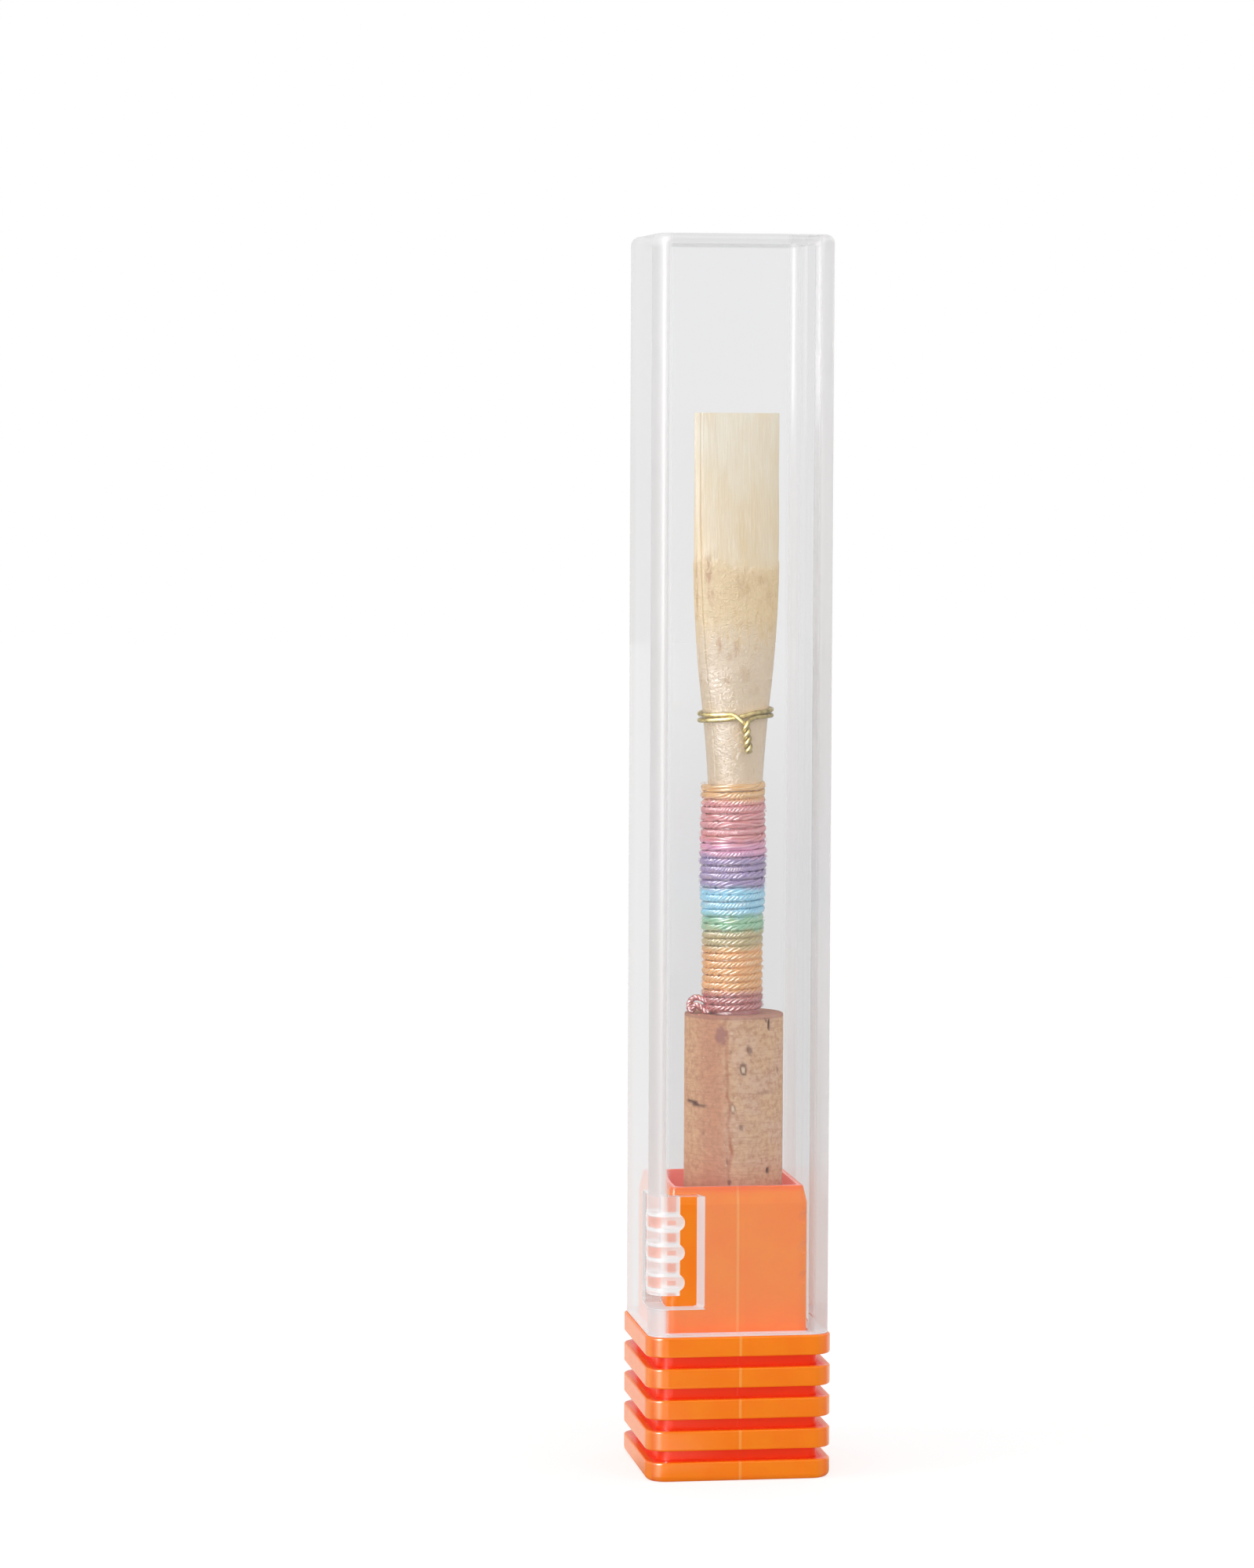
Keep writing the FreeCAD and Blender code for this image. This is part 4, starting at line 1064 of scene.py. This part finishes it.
# The thread's end, looped back on itself on the cork: how far right of the reed's axis, how far towards
# the photograph's viewer and how high
LOOP_ROUTE_MM = (
    (-1.9, 1.3, 23.95), (-2.35, 0.95, 24.1), (-2.8, 0.6, 24.25), (-3.2, 0.5, 24.27), (-3.5, 0.5, 24.05),
    (-3.66, 0.6, 23.65), (-3.6, 0.75, 23.32), (-3.4, 0.98, 23.3), (-3.3, 1.1, 23.6), (-3.1, 1.15, 23.72),
    (-2.85, 1.15, 23.6), (-2.6, 1.15, 23.4), (-2.35, 1.2, 23.26), (-2.0, 1.45, 23.2),
)
LOOP_PLY_RADIUS_MM = 0.15
LOOP_PLY_OUT_MM = 0.12
LOOP_TWIST_MM = 0.98
LOOP_STEPS = 14


def make_loop(material):
    """The knot and loop that end the thread, twisted from the same three plies."""
    to_right = Matrix.Rotation(-CAMERA_AZIMUTH - REED_TURN, 3, "Z") @ Vector((1, 0, 0))
    to_viewer = Vector((to_right.y, -to_right.x, 0))
    stops = []
    for across, towards, height in LOOP_ROUTE_MM:
        stops.append(to_right * across + to_viewer * towards + Vector((0, 0, height)))
    path = []
    for index in range(len(stops) - 1):
        before, after = stops[max(index - 1, 0)], stops[min(index + 2, len(stops) - 1)]
        low, high = stops[index], stops[index + 1]
        for step in range(LOOP_STEPS):
            of_low, of_high, of_slope_low, of_slope_high = smooth_weights(step / LOOP_STEPS)
            slopes = (high - before) * of_slope_low + (after - low) * of_slope_high
            path.append(low * of_low + high * of_high + slopes / 2)
    path.append(stops[-1])
    plies = [[] for _ in range(PLY_COUNT)]
    side = Vector((0, 0, 1))
    travelled = 0.0
    for index, spot in enumerate(path):
        onward = (path[min(index + 1, len(path) - 1)] - path[max(index - 1, 0)]).normalized()
        side = (side - onward * side.dot(onward)).normalized()
        other = onward.cross(side)
        if index:
            travelled += (spot - path[index - 1]).length
        for ply, points in enumerate(plies):
            phase = 2 * math.pi * (travelled / LOOP_TWIST_MM + ply / PLY_COUNT)
            points.append(spot + (side * math.cos(phase) + other * math.sin(phase)) * LOOP_PLY_OUT_MM)
    piece = strand_curve("thread_end", plies, LOOP_PLY_RADIUS_MM * MM)
    finish_piece(piece, "thread_loop", ["thread_knot"], material, 80)


# Wire

WIRE_RADIUS_MM = 0.19
WIRE_HEIGHT_MM = 47.45
WIRE_TILT_MM = 0.19
WIRE_TURNS = 2
TURN_SPREAD_MM = (0.36, 0.66)
KNOT_ANGLE = math.radians(273)
TAIL_LENGTH_MM = 2.45
TAIL_TWIST_MM = 1.25
TAIL_LEAN = math.radians(7)
TAIL_ROOT_MM = 0.5
TAIL_STEPS = 44
RING_STEPS = 64
# Where the second turn crosses over the first, as turns from the knot
CROSSING = (0.93, 1.07)
# The wire's oval is the cane's outline a little above it, and clear of it by this
RING_RISE_MM = 0.6
RING_CLEAR_MM = 0.02


def wire_ring_spot(angle, lift):
    """A place on the wire's oval round the cane, lifted from the middle of the two turns."""
    half_width, half_depth, _ = cane_section(WIRE_HEIGHT_MM + RING_RISE_MM)
    clear = WIRE_RADIUS_MM + RING_CLEAR_MM
    height = WIRE_HEIGHT_MM + WIRE_TILT_MM * math.cos(angle) + lift
    return Vector(((half_width + clear) * math.cos(angle), (half_depth + clear) * math.sin(angle), height))


def make_wire(material):
    """One wire: up the tail, twice round the cane and back down the tail, twisted with itself."""
    knot = wire_ring_spot(KNOT_ANGLE, 0.0)
    outward = Vector((math.cos(KNOT_ANGLE), math.sin(KNOT_ANGLE), 0))
    sideways = Vector((-outward.y, outward.x, 0))
    root = knot + outward * (WIRE_RADIUS_MM * 1.6) + Vector((0, 0, -TAIL_ROOT_MM))
    down = (Vector((0, 0, -1)) + sideways * math.tan(TAIL_LEAN)).normalized()
    tails = [[], []]
    for index in range(TAIL_STEPS + 1):
        length = TAIL_LENGTH_MM * index / TAIL_STEPS
        for strand, points in enumerate(tails):
            phase = 2 * math.pi * length / TAIL_TWIST_MM + math.pi * strand
            offset = sideways * math.cos(phase) + outward * math.sin(phase)
            points.append(root + down * length + offset * WIRE_RADIUS_MM * 0.95)
    ring = []
    steps = RING_STEPS * WIRE_TURNS
    # The first and last steps are left out, where the wire swings from its ring into its tail
    for index in range(3, steps - 2):
        turn = WIRE_TURNS * index / steps
        angle = KNOT_ANGLE + 2 * math.pi * turn
        away = (1 - math.cos(2 * math.pi * turn)) / 2
        spread = TURN_SPREAD_MM[0] + (TURN_SPREAD_MM[1] - TURN_SPREAD_MM[0]) * away
        side = ease(*CROSSING, turn) * 2 - 1
        ring.append(wire_ring_spot(angle, side * spread / 2))
    path = tails[0][::-1] + ring + tails[1]
    piece = strand_curve("wire_run", [path], WIRE_RADIUS_MM * MM, 4, "NURBS")
    finish_piece(piece, "brass_binding", ["binding_wire", "wire_tail"], material, 60)


# Studio

WHITE = (1, 1, 1, 1)
FLOOR_SIZE = 3.0
FLOOR_PALE = 0.3
# How bright the room looks: straight behind the object, behind it through the cover, in reflections from
# the back and from the front, in reflections inside the cover, and as the light that it gives
THROUGH_COVER = 0.88
BACK_GLOSS = 0.8
FRONT_GLOSS = 0.3
INSIDE_GLOSS = 0.7
ROOM_LIGHT = 0.72
# Where the room's front turns to its back, as the way that a ray goes and as metres behind the object
TURN_BACK = (-0.1, 0.5)
FLOOR_TURN_BACK = (-0.008, 0.008)
# What the floor adds to the light that it scatters, for the same rays, near the object and far from it
FLOOR_FADE = (0.1, 1.4)
FLOOR_STRAIGHT = (0.74, 0.84)
FLOOR_THROUGH = (0.5, 0.67)
FLOOR_BACK_GLOSS = (0.72, 0.7)
FLOOR_INSIDE = 0.4
FLOOR_BOUNCE = 0.4
# A bright card that lies before the object, which only reflections show
CARD_GLOW = 4.4
CARD_AZIMUTH = -14
CARD_SPREAD = (0.91, 0.98)
CARD_REACH = (0.012, 0.018, 0.08, 0.11)
# Lamps: name, azimuth from the camera's own, height, distance, width, tall, power in watts, and whether
# it is a highlight alone
LAMPS = (
    ("left_softbox", -64, 0.12, 0.55, 0.16, 0.55, 1.25, False),
    ("left_strip", -36.5, 0.2, 0.5, 0.12, 0.9, 20.0, True),
    ("right_fill", 50, 0.25, 0.8, 0.5, 0.6, 1.0, False),
    ("top_fill", 10, 0.7, 0.25, 0.5, 0.5, 0.9, False),
)


def ray_kinds(shader):
    """1 by turns for rays that look at the background straight, through the cover, in a mirror, and in a
    mirror that is inside the cover or behind it."""
    rays = shader.node("LightPath").socket.node
    names = ("Is Camera Ray", "Is Glossy Ray", "Is Transmission Ray", "Glossy Depth", "Diffuse Depth")
    straight, polished, refracted, mirrors, scatters = (Value(shader, rays.outputs[name]) for name in names)
    seen = polished * (1 - shader.clamp(scatters))
    mirrored = seen * shader.clamp(mirrors)
    return straight, seen - mirrored, mirrored * (1 - refracted), mirrored * refracted


def make_world():
    world = bpy.data.worlds.new("studio")
    bpy.context.scene.world = world
    room = Shader(world)
    straight, through, mirrored, inside = ray_kinds(room)
    _, towards_back, _ = room.split(room.node("TexCoord"))
    gloss = between_levels(room.step(towards_back, *TURN_BACK), (FRONT_GLOSS, BACK_GLOSS))
    other = (1 - straight - through - mirrored - inside) * ROOM_LIGHT
    strength = straight + through * THROUGH_COVER + mirrored * gloss + inside * INSIDE_GLOSS + other
    room.fill(room.tree.nodes["Background"], {"Color": WHITE, "Strength": strength})


def stand_off(azimuth, distance, height):
    """A place round the object, at an angle from the front."""
    return Vector((-math.sin(azimuth) * distance, -math.cos(azimuth) * distance, height))


def make_floor():
    bpy.ops.mesh.primitive_plane_add(size=FLOOR_SIZE, location=(0, 0, 0))
    floor = bpy.context.object
    floor.name = "pale_floor"
    finish = Finish("pale_floor")
    straight, through, mirrored, inside = ray_kinds(finish)
    where = finish.node("TexCoord", output=3)
    _, along, _ = finish.split(where)
    away = finish.node("VectorMath", {"operation": "LENGTH"}, {0: where}, 1)
    far = finish.step(away, *FLOOR_FADE)
    card_way = stand_off(CAMERA_AZIMUTH - math.radians(CARD_AZIMUTH), 1, 0)
    heading = finish.node("VectorMath", {"operation": "NORMALIZE"}, {0: where})
    turned = finish.node("VectorMath", {"operation": "DOT_PRODUCT"}, {0: heading, 1: card_way}, 1)
    card = finish.step(turned, *CARD_SPREAD) * finish.band(away, *CARD_REACH)
    behind = finish.step(along, *FLOOR_TURN_BACK)
    gloss = behind * between_levels(far, FLOOR_BACK_GLOSS) + card * CARD_GLOW
    other = (1 - straight - through - mirrored - inside) * FLOOR_BOUNCE
    glow = straight * between_levels(far, FLOOR_STRAIGHT) + through * between_levels(far, FLOOR_THROUGH)
    glow = glow + mirrored * gloss + inside * FLOOR_INSIDE + other
    finish.set(
        Base_Color=(FLOOR_PALE, FLOOR_PALE, FLOOR_PALE, 1), Roughness=0.9, Specular_IOR_Level=0.0,
        Emission_Color=WHITE, Emission_Strength=glow,
    )
    wear(floor, finish.owner)


def make_lamps():
    middle = Vector((0, 0, (cad_box[0].z + cad_box[1].z) / 2))
    for name, azimuth, height, distance, width, tall, power, highlight in LAMPS:
        place = stand_off(CAMERA_AZIMUTH - math.radians(azimuth), distance, height)
        lamp = bpy.data.lights.new(name, "AREA")
        lamp.shape = "RECTANGLE"
        lamp.size, lamp.size_y = width, tall
        lamp.energy = power
        holder = bpy.data.objects.new(name, lamp)
        holder.location = place
        holder.rotation_euler = (place - middle).to_track_quat("Z", "Y").to_euler()
        holder.visible_diffuse = not highlight
        bpy.context.scene.collection.objects.link(holder)


def make_camera():
    lens = bpy.data.cameras.new("photograph")
    lens.sensor_width = CAMERA_SENSOR_MM
    lens.lens = CAMERA_LENS_MM
    lens.shift_x, lens.shift_y = CAMERA_SHIFT
    lens.clip_start, lens.clip_end = CAMERA_REACH
    camera = bpy.data.objects.new("photograph", lens)
    around = Matrix.Rotation(-CAMERA_AZIMUTH, 4, "Z")
    level = Matrix.Rotation(math.pi / 2 - CAMERA_PITCH, 4, "X")
    roll = Matrix.Rotation(CAMERA_ROLL, 4, "Z")
    place = stand_off(CAMERA_AZIMUTH, CAMERA_DISTANCE, CAMERA_HEIGHT)
    camera.matrix_world = Matrix.Translation(place) @ around @ level @ roll
    bpy.context.scene.collection.objects.link(camera)
    bpy.context.scene.camera = camera


def dress_case():
    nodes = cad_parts
    wear(nodes["base"], orange_plastic())
    wear(nodes["cover"], clear_plastic("clear_cover", COVER_CLEAR, cut_faces))
    wear(nodes["ratchet_tongue"], clear_plastic("clear_tongue", TONGUE_CLEAR, tongue_marks))
    wear(nodes["staple"], drawn_metal())


def make_reed():
    thread = thread_finish()
    wear(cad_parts["thread_underlayer"], thread)
    cane = cane_finish()
    make_cork(cork_finish())
    make_blade("front_cane", "blade_front", math.pi, cane)
    make_blade("back_cane", "blade_back", 0.0, cane)
    make_winding(thread)
    make_loop(thread)
    make_wire(wire_finish())


dress_case()
make_reed()
make_world()
make_floor()
make_lamps()
make_camera()
bpy.context.scene.view_settings.view_transform = "Standard"
